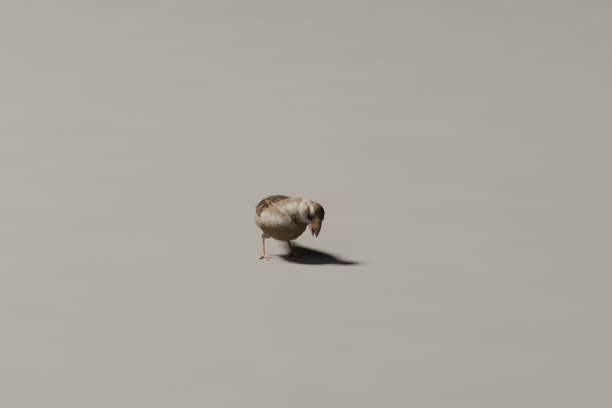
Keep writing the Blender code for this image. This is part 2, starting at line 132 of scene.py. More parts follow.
def surfaced(tree, shader, tint, shade, height, strength, depth):
    """Gives the shader a tint times a shade, and a relief of some depth in metres."""
    colour = add(tree, "ShaderNodeVectorMath", {"operation": "SCALE"}, i0=tint, i3=shade)
    bump = add(tree, "ShaderNodeBump", Strength=strength, Distance=depth, Height=height)
    tree.links.new(colour.outputs[0], shader.inputs["Base Color"])
    tree.links.new(bump.outputs[0], shader.inputs["Normal"])


def smooth(low, high, x):
    """0 below low, 1 above high, and an even curve between."""
    t = np.clip((np.asarray(x, float) - low) / (high - low), 0, 1)
    return t * t * (3 - 2 * t)


def unit(v):
    return v / np.maximum(np.linalg.norm(v, axis=-1, keepdims=True), 1e-9)


# %% [markdown]
# ## The bird's measures
#
# These repeat the sizes of the solids.  The bird faces -Y with its left at +X, and the first
# numbers are (left, back, up) from the ground under the middle of its trunk.  Where that point
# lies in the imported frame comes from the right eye, whose ball is the easiest piece to find.

# %% Measures of the bird
HEAD_MIDDLE = np.array([20.4, -30.0, 40.6])
HEAD_TURN, HEAD_PITCH, HEAD_ROLL = np.radians([22.0, 69.0, -22.0])
level = np.array([math.sin(HEAD_TURN), -math.cos(HEAD_TURN), 0.0])
upright = np.array([0.0, 0.0, 1.0])
BILL_WAY = level * math.cos(HEAD_PITCH) - upright * math.sin(HEAD_PITCH)
crown_0 = level * math.sin(HEAD_PITCH) + upright * math.cos(HEAD_PITCH)
right_0 = np.cross(BILL_WAY, crown_0)
CROWN_WAY = crown_0 * math.cos(HEAD_ROLL) + right_0 * math.sin(HEAD_ROLL)
RIGHT_WAY = np.cross(BILL_WAY, CROWN_WAY)
HEAD_AXES = np.array([BILL_WAY, CROWN_WAY, RIGHT_WAY])

EYE_RADIUS, EYE_SIDE = 3.3, 6.0
eye_box = np.array(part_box("eye_right")).mean(axis=0) / MM
SHIFT = eye_box - (HEAD_MIDDLE + RIGHT_WAY * EYE_SIDE)
SHIFT[2] = 0.0 if abs(SHIFT[2]) < 0.05 else SHIFT[2]

TRUNK = {"half_length": 32.5, "half_width": 20.6, "half_depth": 18.6, "up": 34.6, "ahead": -1.0}
EGG_TAPER, RUMP_RISE = 0.20, 5.0
REAR_SWING = (-8.0, 54.0, 5.4)  # where it starts, how long it is, how far it reaches
# Each form below is (middle, radii).
RUMP_FORMS = (((1.2, 24.0, 40.0), (11.0, 16.0, 8.8)), ((2.0, 30.0, 38.0), (8.0, 14.0, 6.2)),
              ((2.2, 31.0, 34.8), (7.0, 15.0, 4.6)))
NECK_FORMS = (((3.0, -13.0, 41.6), (15.0, 14.5, 13.6)), ((8.6, -19.5, 43.6), (13.0, 12.6, 12.6)),
              ((14.4, -25.0, 44.6), (11.6, 11.2, 11.6)))
HEAD_FORMS = (((-2.9, 0.0, 0.0), (9.7, 9.1, 9.3)), ((-2.0, -4.0, 0.0), (8.8, 6.6, 9.4)),
              ((2.9, 0.5, 0.0), (3.9, 7.6, 6.6)))
TRUNK_COAT, NECK_COAT, HEAD_COAT = 2.3, 2.1, 0.95
SIDES = {-1: "right", 1: "left"}
print("the packed frame is moved by", SHIFT.round(3), "mm")


def placed(points):
    """From the bird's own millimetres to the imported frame's metres."""
    return (np.asarray(points) + SHIFT) * MM


def in_head(points):
    """(along the bill, towards the crown, to the right) of points, from between the eyes."""
    return (np.asarray(points) - HEAD_MIDDLE) @ HEAD_AXES.T


def off_eyes(spots):
    """How far points in head measures are from the line through both eyes."""
    return np.hypot(spots[..., 0], spots[..., 1])


def from_head(points):
    return np.asarray(points) @ HEAD_AXES + HEAD_MIDDLE


# %% The trunk's sections
def trunk_section(back):
    """Half width, half depth and middle height of the trunk at that distance back."""
    share = np.clip((-back - TRUNK["ahead"]) / TRUNK["half_length"], -1, 1)
    inside = np.sqrt(1 - share**2) * (1 + EGG_TAPER * share)
    middle = TRUNK["up"] + RUMP_RISE * ((1 - share) / 2) ** 2
    return TRUNK["half_width"] * inside, TRUNK["half_depth"] * inside, middle


def swing(back):
    """How far to the left the middle line lies."""
    start, length, reach = REAR_SWING
    return reach * np.maximum(0.0, (start + back) / length) ** 1.5


print("the trunk's half width, half depth and height:", [round(float(v), 1) for v in trunk_section(1.0)])


# %% [markdown]
# ## The skin
#
# A taxidermist's manikin is one smooth body with the head, neck, thighs and legs in one piece.
# The forms are swelled together, wrapped in one voxel surface and softened.  The coat's depth is
# taken off first, so the feathers bring the bird back out to the outline of the solids.


# %% Wrapping forms in one surface
def new_object(name, data):
    """An object in the scene for a mesh, a camera or a lamp."""
    obj = bpy.data.objects.new(name, data)
    bpy.context.scene.collection.objects.link(obj)
    return obj


def evaluated(obj):
    """The object's mesh with its modifiers applied, and the modifiers dropped."""
    bpy.context.view_layer.update()
    graph = bpy.context.evaluated_depsgraph_get()
    mesh = bpy.data.meshes.new_from_object(obj.evaluated_get(graph))
    obj.modifiers.clear()
    obj.data = mesh
    return obj


def wrapped(name, bm, voxel, rounds):
    """Moves the forms in bm to their place in the frame and wraps them in one even surface."""
    mesh = bpy.data.meshes.new(name)
    to_frame = Matrix.Scale(MM, 4) @ Matrix.Translation(SHIFT)
    bmesh.ops.transform(bm, matrix=to_frame, verts=bm.verts)
    bmesh.ops.recalc_face_normals(bm, faces=bm.faces)
    bm.to_mesh(mesh)
    bm.free()
    obj = new_object(name, mesh)
    wrap = obj.modifiers.new("wrap", "REMESH")
    wrap.mode, wrap.voxel_size, wrap.use_smooth_shade = "VOXEL", voxel, True
    soften = obj.modifiers.new("soften", "SMOOTH")
    soften.factor, soften.iterations = 0.5, rounds
    return evaluated(obj)


# %% The body in forms
def add_ellipsoid(bm, middle, radii, less, head=False):
    """Adds one form, with the coat's depth taken off each radius."""
    radii = np.array(radii) - less
    if head:
        matrix = Matrix(HEAD_AXES.T.tolist()).to_4x4()
        matrix.translation = Vector(from_head(middle))
    else:
        matrix = Matrix.Translation(Vector(middle))
    size = Matrix.Diagonal((*radii.tolist(), 1.0))
    bmesh.ops.create_icosphere(bm, subdivisions=5, radius=1.0, matrix=matrix @ size)


def body_forms():
    """The trunk's egg with rump, neck, head and thighs."""
    bm = bmesh.new()
    egg = bmesh.ops.create_uvsphere(bm, u_segments=72, v_segments=56, radius=1.0)["verts"]
    for vert in egg:
        across, rise, share = vert.co
        back = -(TRUNK["ahead"] + share * (TRUNK["half_length"] - TRUNK_COAT))
        width, depth, middle = trunk_section(-(TRUNK["ahead"] + share * TRUNK["half_length"]))
        ring = math.hypot(across, rise) or 1.0
        thin_w, thin_d = max(width - TRUNK_COAT, 0.0), max(depth - TRUNK_COAT, 0.0)
        left = swing(np.float64(back)) + across / ring * thin_w
        vert.co = (left, back, middle + rise / ring * thin_d)
    for middle, radii in RUMP_FORMS:
        add_ellipsoid(bm, middle, radii, TRUNK_COAT * 0.8)
    for middle, radii in NECK_FORMS:
        add_ellipsoid(bm, middle, radii, NECK_COAT)
    for middle, radii in HEAD_FORMS:
        add_ellipsoid(bm, middle, radii, HEAD_COAT, head=True)
    for side in (-1, 1):
        add_bar(bm, *thigh_line(side))
    return bm


# %% [markdown]
# ### Legs and toes
#
# A sparrow stands on its toes.  What looks like a backward knee is its heel, and the shank below
# it is bare and scaled.  Bars with a radius at each place make them, as wire and putty would.

# %% Leg measures and forms
FEET = {-1: np.array([-15.0, 5.0, 1.15]), 1: np.array([11.5, 4.0, 1.15])}
HEEL = np.array([2.8, 8.6, 17.4])  # towards the body's middle, back, height
TOES = {"inner": (-33.0, 8.6, 4.2), "middle": (2.0, 12.2, 4.6), "outer": (37.0, 9.2, 4.0),
        "hind": (184.0, 7.0, 5.6)}  # degrees outwards, toe length, claw length
TOE_RADIUS, TOE_UP = 0.86, 0.76
BODY_VOXEL, BODY_ROUNDS = 0.62, 8  # the wrapping surface's mesh, and its rounds of softening
LEG_VOXEL, LEG_ROUNDS = 0.17, 3


def heel_of(side):
    """The middle of the backward knee, which is the bird's heel."""
    foot = FEET[side]
    return np.array([foot[0] - side * HEEL[0], foot[1] + HEEL[1], HEEL[2]])


def thigh_line(side):
    """Middle line and radii of the feathered thigh, down to the heel."""
    foot, heel = FEET[side], heel_of(side)
    top = np.array([foot[0] - side * 6.0, foot[1] - 3.5, 27.0])
    t = np.linspace(0, 1, 9)[:, None]
    line = top + (heel - top) * t + np.array([0, -0.6, -0.8]) * 4 * t * (1 - t)
    radii = np.interp(t[:, 0], np.linspace(0, 1, 5), (4.5, 4.2, 3.2, 2.0, 1.35))
    return line, radii


def shank_line(side):
    """Middle line and radii of the bare shank, from the heel to the foot."""
    foot, heel = FEET[side], heel_of(side)
    top = heel + unit(heel - foot) * 0.6
    t = np.linspace(0, 1, 15)[:, None]
    line = top + (foot - top) * t + np.array([0, 0.5, 0]) * 4 * t * (1 - t)
    radii = np.interp(t[:, 0], np.linspace(0, 1, 6), (1.5, 1.2, 0.95, 0.9, 0.95, 1.18))
    return line, radii


def toe_way(side, toe):
    """The level direction that a toe points in."""
    turn = math.radians(TOES[toe][0])
    return np.array([side * math.sin(turn), -math.cos(turn), 0.0])


def toe_line(side, toe):
    """The toe's middle line and radii: pads swell under each joint."""
    length = TOES[toe][1]
    t = np.linspace(0, 1, 25)[:, None]
    line = FEET[side] * [1, 1, 0] + toe_way(side, toe) * (0.4 + (length - 0.4) * t)
    line = line + [0, 0, TOE_UP]
    joints = 2 if toe == "hind" else 3
    radii = TOE_RADIUS * (1 + 0.09 * np.cos(2 * math.pi * t[:, 0] * joints)) * (1 - 0.2 * t[:, 0])
    return line, radii


def rings_round(line, radii, around, flat=1.0):
    """A ring of points square to the line at each of its points, flatter across if flat is low."""
    tangent = unit(np.gradient(line, axis=0))
    first = unit(np.cross(tangent, np.tile([0.31, 0.11, 0.94], (len(line), 1))))
    second = np.cross(tangent, first)
    turn = np.linspace(0, 2 * math.pi, around, endpoint=False)
    ring = (np.cos(turn)[None, :, None] * first[:, None] * flat
            + np.sin(turn)[None, :, None] * second[:, None])
    return line[:, None] + ring * np.asarray(radii)[:, None, None]


def add_rings(bm, rings, closed, turned=False):
    """Adds rings of points and the faces between them; closed, the last joins the first."""
    rings = [[bm.verts.new(spot) for spot in ring] for ring in rings]
    for one, two in zip(rings, rings[1:] + (rings[:1] if closed else [])):
        for k in range(len(one)):
            n = (k + 1) % len(one)
            quad = (one[k], one[n], two[n], two[k])
            bm.faces.new(quad[::-1] if turned else quad)
    return rings


def add_bar(bm, line, radii):
    """Adds a round bar along the line, with flat ends."""
    rings = add_rings(bm, rings_round(line, radii, 20), closed=False)
    bm.faces.new(rings[0][::-1])
    bm.faces.new(rings[-1])


def leg_forms():
    """Shanks, heels, pads and toes."""
    bm = bmesh.new()
    for side, foot in FEET.items():
        add_bar(bm, *shank_line(side))
        pad = Matrix.Translation(foot) @ Matrix.Diagonal((1.9, 2.1, 1.3, 1))
        knob = Matrix.Translation(heel_of(side)) @ Matrix.Diagonal((1.5, 1.6, 1.6, 1))
        for form in (pad, knob):
            bmesh.ops.create_icosphere(bm, subdivisions=3, radius=1.0, matrix=form)
        for toe in TOES:
            add_bar(bm, *toe_line(side, toe))
    return bm


def flatten_soles(mesh):
    """Presses what lies below the ground up to it, as soft pads are pressed."""
    for vert in mesh.vertices:
        vert.co.z = max(vert.co.z, 0.0)


# %% [markdown]
# ### Lids
#
# A bird's lids are a thin creased ring that hides most of the ball.  A profile, narrow at the
# opening and buried at its wide back, is turned round each eye.

# %% Lids, and the skin made
def add_lids(bm, around=72):
    """A wrinkled ring of lid round each eye, a little wider along the head than across it."""
    # Distance from the eye's axis, and along it from the ball's middle
    rim = np.array([(2.08, 2.30), (2.10, 2.60), (2.20, 2.72), (2.38, 2.74), (2.58, 2.62),
                    (2.80, 2.42), (3.10, 2.12), (3.50, 1.70), (3.40, 1.20), (2.50, 1.60)])
    turn = np.linspace(0, 2 * math.pi, around, endpoint=False)
    crease = 0.035 * np.sin(turn * 15) + 0.02 * np.sin(turn * 37 + 1.0)
    for side in (-1, 1):
        rings = []
        for k, (radius, axial) in enumerate(rim):
            ring = radius + (crease if 2 < k < 7 else 0.0)
            out = side * (EYE_SIDE + axial + (crease if 1 < k < 7 else 0.0) + 0 * turn)
            spots = np.stack([ring * 1.06 * np.cos(turn), ring * 0.96 * np.sin(turn), out], axis=1)
            rings.append(placed(from_head(spots)))
        add_rings(bm, rings, closed=True, turned=side > 0)


def make_skin():
    """Body, legs and lids in one mesh."""
    body = wrapped("skin", body_forms(), BODY_VOXEL * MM, BODY_ROUNDS)
    legs = wrapped("legs", leg_forms(), LEG_VOXEL * MM, LEG_ROUNDS)
    flatten_soles(legs.data)
    bm = bmesh.new()
    bm.from_mesh(body.data)
    bm.from_mesh(legs.data)
    add_lids(bm)
    bm.to_mesh(body.data)
    bm.free()
    bpy.data.objects.remove(legs)
    return body


skin = make_skin()
print("skin:", len(skin.data.polygons), "faces")


# %% [markdown]
# ### The skin's map
#
# An unwrap gives every place on the skin a place on a flat map.  The feathers' own patches are
# laid on that map where their roots are.  Each face's middle, area and normal are read once, and
# a search tree finds the nearest skin to any point.

# %% The skin's map and faces
def unwrap(obj):
    """Gives the skin its OFBake map, an unwrap of its own shape."""
    obj.data.uv_layers.new(name="OFBake")
    bpy.context.view_layer.objects.active = obj
    obj.select_set(True)
    bpy.ops.object.mode_set(mode="EDIT")
    bpy.ops.mesh.select_all(action="SELECT")
    bpy.ops.uv.smart_project(angle_limit=math.radians(70), island_margin=0.001)
    bpy.ops.object.mode_set(mode="OBJECT")
    obj.select_set(False)


def face_spots(mesh):
    """Middle, area, normal and map place of each face."""
    count = len(mesh.polygons)
    middles, areas, normals = np.empty(count * 3), np.empty(count), np.empty(count * 3)
    mesh.polygons.foreach_get("center", middles)
    mesh.polygons.foreach_get("area", areas)
    mesh.polygons.foreach_get("normal", normals)
    starts = np.empty(count, int)
    mesh.polygons.foreach_get("loop_start", starts)
    uv = np.empty(len(mesh.loops) * 2)
    mesh.uv_layers["OFBake"].data.foreach_get("uv", uv)
    spots = uv.reshape(-1, 2)[starts]
    return middles.reshape(-1, 3) / MM - SHIFT, areas / MM**2, normals.reshape(-1, 3), spots


unwrap(skin)
FACE_MIDDLE, FACE_AREA, FACE_NORMAL, FACE_UV = face_spots(skin.data)
verts = np.empty(len(skin.data.vertices) * 3)
skin.data.vertices.foreach_get("co", verts)
SKIN_VERTS = verts.reshape(-1, 3) / MM - SHIFT
SKIN_TREE = BVHTree.FromPolygons(SKIN_VERTS.tolist(), [tuple(p.vertices) for p in skin.data.polygons])
print("skin area", round(FACE_AREA.sum()), "square mm")

# %% [markdown]
# ## The folded wing's own surface
#
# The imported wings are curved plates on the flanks.  A place on one is given by its share of the
# way from the bend of the wing to the tip, and by its share from the lower edge to the upper one.

# %% Places on the folded wing
WING_LENGTH, WING_FRONT, WING_GAP = 75.0, 12.5, 0.3
# Share of the way to the tip, and the lower and the upper edge in degrees round the body
WING_EDGES = np.array([(0.0, 6.0, 22.0), (0.07, -6.0, 36.0), (0.27, -14.0, 40.0),
                       (0.52, -6.0, 46.0), (0.76, 10.0, 55.0), (0.93, 26.0, 70.0),
                       (1.0, 40.0, 62.0)])
# Place ahead, half width, half depth and middle height of what lies under the wing's rear
SLEEVE = np.array([(-28.0, 10.4, 8.0, 38.6), (-44.0, 8.2, 5.0, 33.6), (-57.0, 6.6, 3.4, 29.8)])


def flowing(rows, x, column):
    """The value of one column at x, on a curve through the rows that keeps their rises and falls."""
    xs, ys = rows[:, 0], rows[:, column]
    if xs[0] > xs[-1]:
        xs, ys = xs[::-1], ys[::-1]
    slopes = np.diff(ys) / np.diff(xs)
    tangents = np.empty(len(xs))
    tangents[0], tangents[-1] = slopes[0], slopes[-1]
    for k in range(1, len(xs) - 1):
        a, b = slopes[k - 1], slopes[k]
        tangents[k] = 0.0 if a * b <= 0 else 2 * a * b / (a + b)
    x = np.clip(x, xs[0], xs[-1])
    i = np.clip(np.searchsorted(xs, x, side="right") - 1, 0, len(xs) - 2)
    width = xs[i + 1] - xs[i]
    t = (x - xs[i]) / width
    return ((2 * t**3 - 3 * t**2 + 1) * ys[i] + (t**3 - 2 * t**2 + t) * width * tangents[i]
            + (3 * t**2 - 2 * t**3) * ys[i + 1] + (t**3 - t**2) * width * tangents[i + 1])


def wing_section(forward):
    """Half width, half depth and middle height of what the wing lies on."""
    width, depth, middle = trunk_section(-np.asarray(forward))
    sleeve_w, sleeve_d, sleeve_m = (flowing(SLEEVE, forward, c) for c in (1, 2, 3))
    blend = smooth(12.0, 32.0, -forward)
    return ((width**6 + sleeve_w**6) ** (1 / 6), (depth**6 + sleeve_d**6) ** (1 / 6),
            middle + (sleeve_m - middle) * blend)


def wing_place(side, t, q, out):
    """A point on the folded wing: t from bend to tip, q from lower to upper edge, out from the body."""
    t, q, out = np.broadcast_arrays(*(np.asarray(v, float) for v in (t, q, out)))
    forward = WING_FRONT - t * WING_LENGTH
    width, depth, middle = wing_section(forward)
    low, high = flowing(WING_EDGES, t, 1), flowing(WING_EDGES, t, 2)
    angle = np.radians(low + (high - low) * q)
    reach = WING_GAP + out * (1 - 0.9 * smooth(0.55, 0.95, q) * smooth(0.1, 0.25, t))
    return np.stack([side * (width + reach) * np.cos(angle) + swing(-forward), -forward,
                     middle + (depth + reach) * np.sin(angle)], axis=-1)


def wing_grid(points, least=0.0):
    """Where points lie along and across a folded wing (both 0 to 1 on it), and how many
    millimetres inside its outline."""
    back = points[..., 1]
    t = (WING_FRONT + back) / WING_LENGTH
    width, depth, middle = wing_section(-back)
    across = np.abs(points[..., 0] - swing(back))
    angle = np.degrees(np.arctan2((points[..., 2] - middle) / depth, across / width))
    at = np.maximum(t, least)
    low, high = flowing(WING_EDGES, at, 1), flowing(WING_EDGES, at, 2)
    scale = np.radians(1) * depth
    inside = np.minimum((angle - low) * scale, (high - angle) * scale)
    inside = np.minimum(inside, np.minimum(t, 1 - t) * WING_LENGTH)
    return t, (angle - low) / (high - low), inside


def tucked(points):
    """Where the wing lies under the flank's feathers, as its lower front does."""
    t, q, _ = wing_grid(points)
    return (t > -0.02) & (q < 0.42 - 1.4 * t) & (q > -0.3)


tip = wing_place(1, 1.0, 0.5, 0.0)
print("the left wing's tip lies at", tip.round(1), "mm")


# %% [markdown]
# ## Markings
#
# A hen is plain at a distance and busy close to.  She has a grey-brown crown, a long buff brow, a
# dark line behind the eye, greyish cheeks, dingy beige underparts, and a warm brown back with bold
# black streaks.  One function paints a place on the bird, and both skin and feathers ask it.

# %% Tones and markings
TONES = {name: paint(code) for name, code in {
    # The second crown tone darkens the crown's top: part crown colour, part painted shade.
    "crown": "5f5040", "crown_dark_and_shade": "2f251b", "brow": "b4a68a", "eye_line": "3d332a",
    "cheek": "b2a697", "ear": "a0937f", "lore": "54493e", "chin": "a89d8d",
    # The breast tone is partly the breast's grey-brown and partly painted shade of the underside.
    "nape": "5f5343", "neck": "a59c8d", "breast": "6c5e4a", "flank": "746957", "belly": "92866f",
    "vent": "8c8270", "mantle": "21170e", "buff": "4c3b27", "black": "060403", "rump": "463b2e",
    # The dark thigh tone is partly the thighs' colour and partly painted shade under the belly.
    "thigh": "40372b", "down": "4c4438", "face_edge": "9c9387"}.items()}


print(len(TONES), "tones for the coat")


def mix(a, b, share):
    """a where the share is 0, b where it is 1, and even between."""
    return a + (b - a) * np.asarray(share)[..., None]


def painted(palette, tone, layers):
    """Lays tones of the palette over a ground tone, each by its share at every place."""
    for name, share in layers:
        tone = mix(tone, palette[name], share)
    return tone


def blob(points, middle, radii):
    """1 in the middle of a soft oval patch and 0 outside it."""
    return smooth(1.25, 0.7, np.linalg.norm((points - np.array(middle)) / radii, axis=-1))


# %% Tone of the body
def on_mantle(points, normals):
    """1 where the back is streaked: its front edge slants forward up to the spine."""
    front = points[:, 1] + 11 + (normals[:, 2] - 0.5) * 18
    t, q, _ = wing_grid(points)
    upper = smooth(0.6, 0.75, q) * smooth(-0.01, 0.03, t) * smooth(0.0, 0.15, normals[:, 2])
    return np.maximum(smooth(-1.2, 1.2, front) * smooth(0.2, 0.36, normals[:, 2]), upper)


def body_tone(points, normals):
    """The ground colour of neck and trunk, from the back round to the belly."""
    height = normals[:, 2]
    back = points[:, 1]
    above = np.maximum(smooth(0.3, 0.5, height), smooth(34, 36.5, points[:, 2]))
    above = np.maximum(above, smooth(17, 25, back) * smooth(-0.65, -0.3, height))
    # The breast's ground tone is partly plumage colour and partly painted shade on the underside.
    return painted(TONES, TONES["breast"], (
        ("flank", smooth(-18, 4, back)),
        ("neck", smooth(0.0, 0.45, height) * smooth(2, -14, back)),
        ("belly", smooth(-0.35, -0.85, height) * smooth(-24, -10, back) * 0.8),
        ("vent", smooth(14, 24, back) * smooth(-0.3, -0.7, height)),
        ("nape", smooth(0.36, 0.66, height)),
        ("mantle", on_mantle(points, normals)),
        ("rump", smooth(12, 20, back) * above)))


# %% Tone of the head
def head_tone(spots):
    """The pattern of face and crown, in the head's own axes."""
    along, crown, side = spots[:, 0], spots[:, 1], np.abs(spots[:, 2])
    folded = np.stack([along, crown, side], axis=-1)
    brow_line = 2.4 - 0.022 * np.minimum(along + 2, 0) ** 2 + 0.1 * np.maximum(along + 2, 0)
    above = crown - brow_line
    streaks = np.sin(above * 4.1 + 0.6 * np.sin(along * 0.9)) * smooth(-8, -3, crown)
    brow = smooth(1.4, 0.6, np.abs(above)) * smooth(7.5, 4.0, along) * smooth(0.5, 2.5, side)
    ring = smooth(3.9, 3.0, np.hypot(along, crown)) * smooth(4, 6, side) * smooth(1.2, 0.2, above)
    line = smooth(0.85, 0.3, np.abs(above + 1.75)) * smooth(-0.5, -3.0, along)
    tone = painted(TONES, TONES["cheek"], (
        ("neck", smooth(-7.5, -11, crown)),
        ("chin", smooth(-4.0, -7.5, crown) * smooth(-5, 0, along)),
        ("ear", blob(folded, (-6.5, -2.0, 8.0), (5.8, 4.6, 5.5)) * 0.85)))
    tone = mix(tone, tone * 0.58, 0.6 * smooth(0.1, 0.8, streaks) * smooth(1, -3, along))
    return painted(TONES, tone, (
        ("nape", smooth(-6.5, -10.5, along) * smooth(-4.0, 0.0, crown) * 0.65),
        ("crown", smooth(0.4, 1.6, above)),
        # The crown's top is darkened partly as its colour and partly as painted shade.
        ("crown_dark_and_shade", smooth(3.2, 5.2, above) * smooth(9, 3, side) * 0.5),
        ("brow", brow * (0.1 + 0.9 * smooth(-13, -5, along))),
        ("eye_line", ring * 0.6),
        ("eye_line", line * smooth(-15, -8, along) * smooth(1, 4, side) * 0.7),
        ("lore", blob(folded, (4.6, -1.2, 5.2), (2.0, 1.1, 3.0)) * 0.6),
        ("face_edge", blob(folded, (1.0, -4.2, 8.0), (2.2, 1.6, 3.0)) * 0.5)))


def on_head(points):
    """1 on the head, 0 on neck and trunk."""
    spots = in_head(points)
    near = smooth(15.5, 13.5, np.linalg.norm(spots + [2, 1, 0], axis=-1))
    return smooth(-10.5, -7.5, spots[:, 1]) * near


def tone_at(points, normals):
    """The tone of any place on the bird."""
    spots = in_head(points)
    tone = mix(body_tone(points, normals), head_tone(spots), on_head(points))
    # The thighs' dark tone is partly their colour and partly painted shade under the belly.
    return mix(tone, TONES["thigh"], on_thigh(points))


# %% [markdown]
# ## The lie of the coat
#
# Every feather points away from the bill.  Over the head the flow spreads from the bill's base,
# over the trunk it spreads from the root of the neck and gathers again at the tail, and on the
# thighs it falls towards the heel.

# %% Which way feathers point
BILL_SPRING = from_head([6.0, -1.0, 0.0])
NECK_SPRING = np.array([7.0, -19.0, 43.5])
TAIL_SINK = np.array([4.0, 48.0, 35.0])
TAIL_WAY = np.array([0.12, 0.98, -0.17])


def laid(ways, normals):
    """The ways turned square to the normals, so that they lie in the skin."""
    return unit(ways - normals * np.sum(ways * normals, axis=1, keepdims=True))


def lie_at(points, normals):
    """The unit direction along the skin that feathers lie in."""
    from_bill = unit(points - BILL_SPRING)
    spread = points - NECK_SPRING
    far = np.linalg.norm(spread, axis=1, keepdims=True)
    away = unit(spread) / (1 + (far / 20.0) ** 2) * 1.1
    gather = unit(TAIL_SINK - points) * 0.75
    neck = unit(away + gather)
    share = on_head(points)[:, None]
    middle = smooth(8, 15, np.linalg.norm(points - BILL_SPRING, axis=1))[:, None] * (1 - share)
    way = from_bill * (share + 0.25 * (1 - share) * (1 - middle)) + neck * (1 - share)
    low = smooth(20.5, 16.5, points[:, 2]) * smooth(-0.75, -0.45, normals[:, 2])
    fall = np.array([0.0, 0.45, -1.0])
    way = mix(way, fall, low * smooth(0, 5, points[:, 1]))
    for side in (-1, 1):
        out = points - from_head([0.0, 0.0, side * EYE_SIDE])
        far = np.linalg.norm(out, axis=1, keepdims=True)
        out = out / far
        towards = np.minimum(np.sum(way * out, axis=1, keepdims=True), 0.0)
        way = way - out * (towards - 0.12) * smooth(6.4, 4.6, far)
    return laid(way, normals)


def on_thigh(points):
    """1 on either thigh's lower part."""
    share = np.zeros(len(points))
    for side in FEET:
        line, radii = thigh_line(side)
        gap = np.linalg.norm(points[:, None] - line[None, 3:], axis=2) - radii[None, 3:]
        share = np.maximum(share, smooth(1.2, 0.3, gap.min(axis=1)))
    return share


def in_mouth(spots):
    """True where the bill's halves leave the head, in head measures."""
    oval = ((spots[:, 1] + 2.4) / 5.0) ** 2 + (spots[:, 2] / 3.7) ** 2
    return (oval < 1) & (spots[:, 0] > 4.0)


def at_gape(spots):
    """True on the bare swollen flesh at the corners of the mouth."""
    folded = np.stack([spots[:, 0], spots[:, 1], np.abs(spots[:, 2])], axis=-1)
    return np.linalg.norm(folded - [4.5, -3.5, 4.8], axis=1) < 1.5


def on_leg(points):
    """True on the bare shanks and toes."""
    bare = np.zeros(len(points), bool)
    for side in FEET:
        line, radii = shank_line(side)
        gap = np.linalg.norm(points[:, None] - line[None, 1:], axis=2) - radii[None, 1:]
        bare |= gap.min(axis=1) < 0.5
        bare |= np.linalg.norm(points - heel_of(side), axis=1) < 2.5
    return bare | (points[:, 2] < 3.5)


# %% [markdown]
# ## The skin's finish
#
# Where feathers grow, thin skin shows the coat's markings, darker as painted shade under the feathers,
# so that a parted feather never opens a pale hole.  Round the eye it is bare, grey and creased; inside
# the bill it is wet and dull red; legs and toes have pink-brown scaly skin, finely cracked between the
# scutes.


# %% Painting the skin
def set_tint(mesh, tint):
    """Keeps a colour for every point of the mesh."""
    colours = np.ones((len(tint), 4))
    colours[:, :3] = tint
    layer = mesh.color_attributes.new("tint", "FLOAT_COLOR", "POINT")
    layer.data.foreach_set("color", colours.ravel())


def skin_material():
    """Thin dry skin with a soft low shine, scaly on the legs."""
    material, tree, shader = principled("bird skin", 0.55, 0.35)
    tint = add(tree, "ShaderNodeAttribute", {"attribute_name": "tint"})
    place = add(tree, "ShaderNodeTexCoord")
    cells = add(tree, "ShaderNodeTexVoronoi", {"feature": "DISTANCE_TO_EDGE"},
                Vector=place.outputs["Object"], Scale=2300.0)
    crack = add(tree, "ShaderNodeMapRange", Value=cells.outputs["Distance"], i1=0.0, i2=0.16, i3=0.72,
                i4=1.03)
    patch = mottled(tree, place.outputs["Object"], 420.0, 4.0, 0.86, 1.12)
    shade = add(tree, "ShaderNodeMath", TIMES, i0=crack, i1=patch)
    surfaced(tree, shader, tint.outputs["Color"], shade, crack, 0.5, 0.00006)
    return material


# %% Putting the skin on
def skin_tint():
    """The skin's colours: the coat's tones, darkened as painted shade under the feathers, and bare
    parts.
    """
    normals = np.empty(len(skin.data.vertices) * 3)
    skin.data.vertices.foreach_get("normal", normals)
    # The coat's tones are darkened as painted shade beneath the feathers.
    tint = tone_at(SKIN_VERTS, normals.reshape(-1, 3)) * 0.8
    spots = in_head(SKIN_VERTS)
    lid = (off_eyes(spots) < 2.75) & (np.abs(spots[:, 2]) > 6)
    tint[lid] = paint("37302a")
    tint[at_gape(spots)] = paint("b29a80")
    tint[in_mouth(spots)] = paint("7c4238")
    leg = on_leg(SKIN_VERTS)
    pink = mix(paint("866455"), paint("6c5044"), smooth(4, 14, SKIN_VERTS[:, 2]))
    tint[leg] = pink[leg]
    return tint


skin.data.materials.append(skin_material())
set_tint(skin.data, skin_tint())
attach(skin, "root")
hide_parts("trunk", "neck", "head", *(f"{part}_{word}" for part in ("thigh", "shank", "foot")
                                             for word in ("right", "left")),
            *(f"toe_{word}_{toe}" for word in ("right", "left") for toe in TOES))

# %% [markdown]
# ## Choosing where feathers grow
#
# Feathers grow in an even quincunx, close on the face and wide on the belly.  Random faces of the
# skin are offered one by one, and a place is kept if no kept place is nearer than the spacing.


# %% Feather places
def near_face(points):
    """Head measures of points, and how far they are from the bill's base and the nearer eye."""
    spots = in_head(points)
    bill = np.linalg.norm(spots - [6.5, 0, 0], axis=1)
    eye = np.minimum(*(np.linalg.norm(spots - [0, 0, side * EYE_SIDE], axis=1) for side in SIDES))
    return spots, bill, eye


def spacing_at(points):
    """The distance between feathers at each place."""
    _, face, eye = near_face(points)
    head = 0.36 + 0.40 * smooth(3, 12, face)
    head = np.minimum(head, 0.32 + 0.44 * smooth(3.3, 7.5, eye))
    share = on_head(points)
    body = 0.95 + 0.4 * smooth(-27, -4, points[:, 1])
    size = head * share + body * (1 - share)
    return np.where(on_thigh(points) > 0.5, 0.95, size)


OFFERS, GRID_CELL = 260000, 2.0  # faces offered, and the search grid's cell


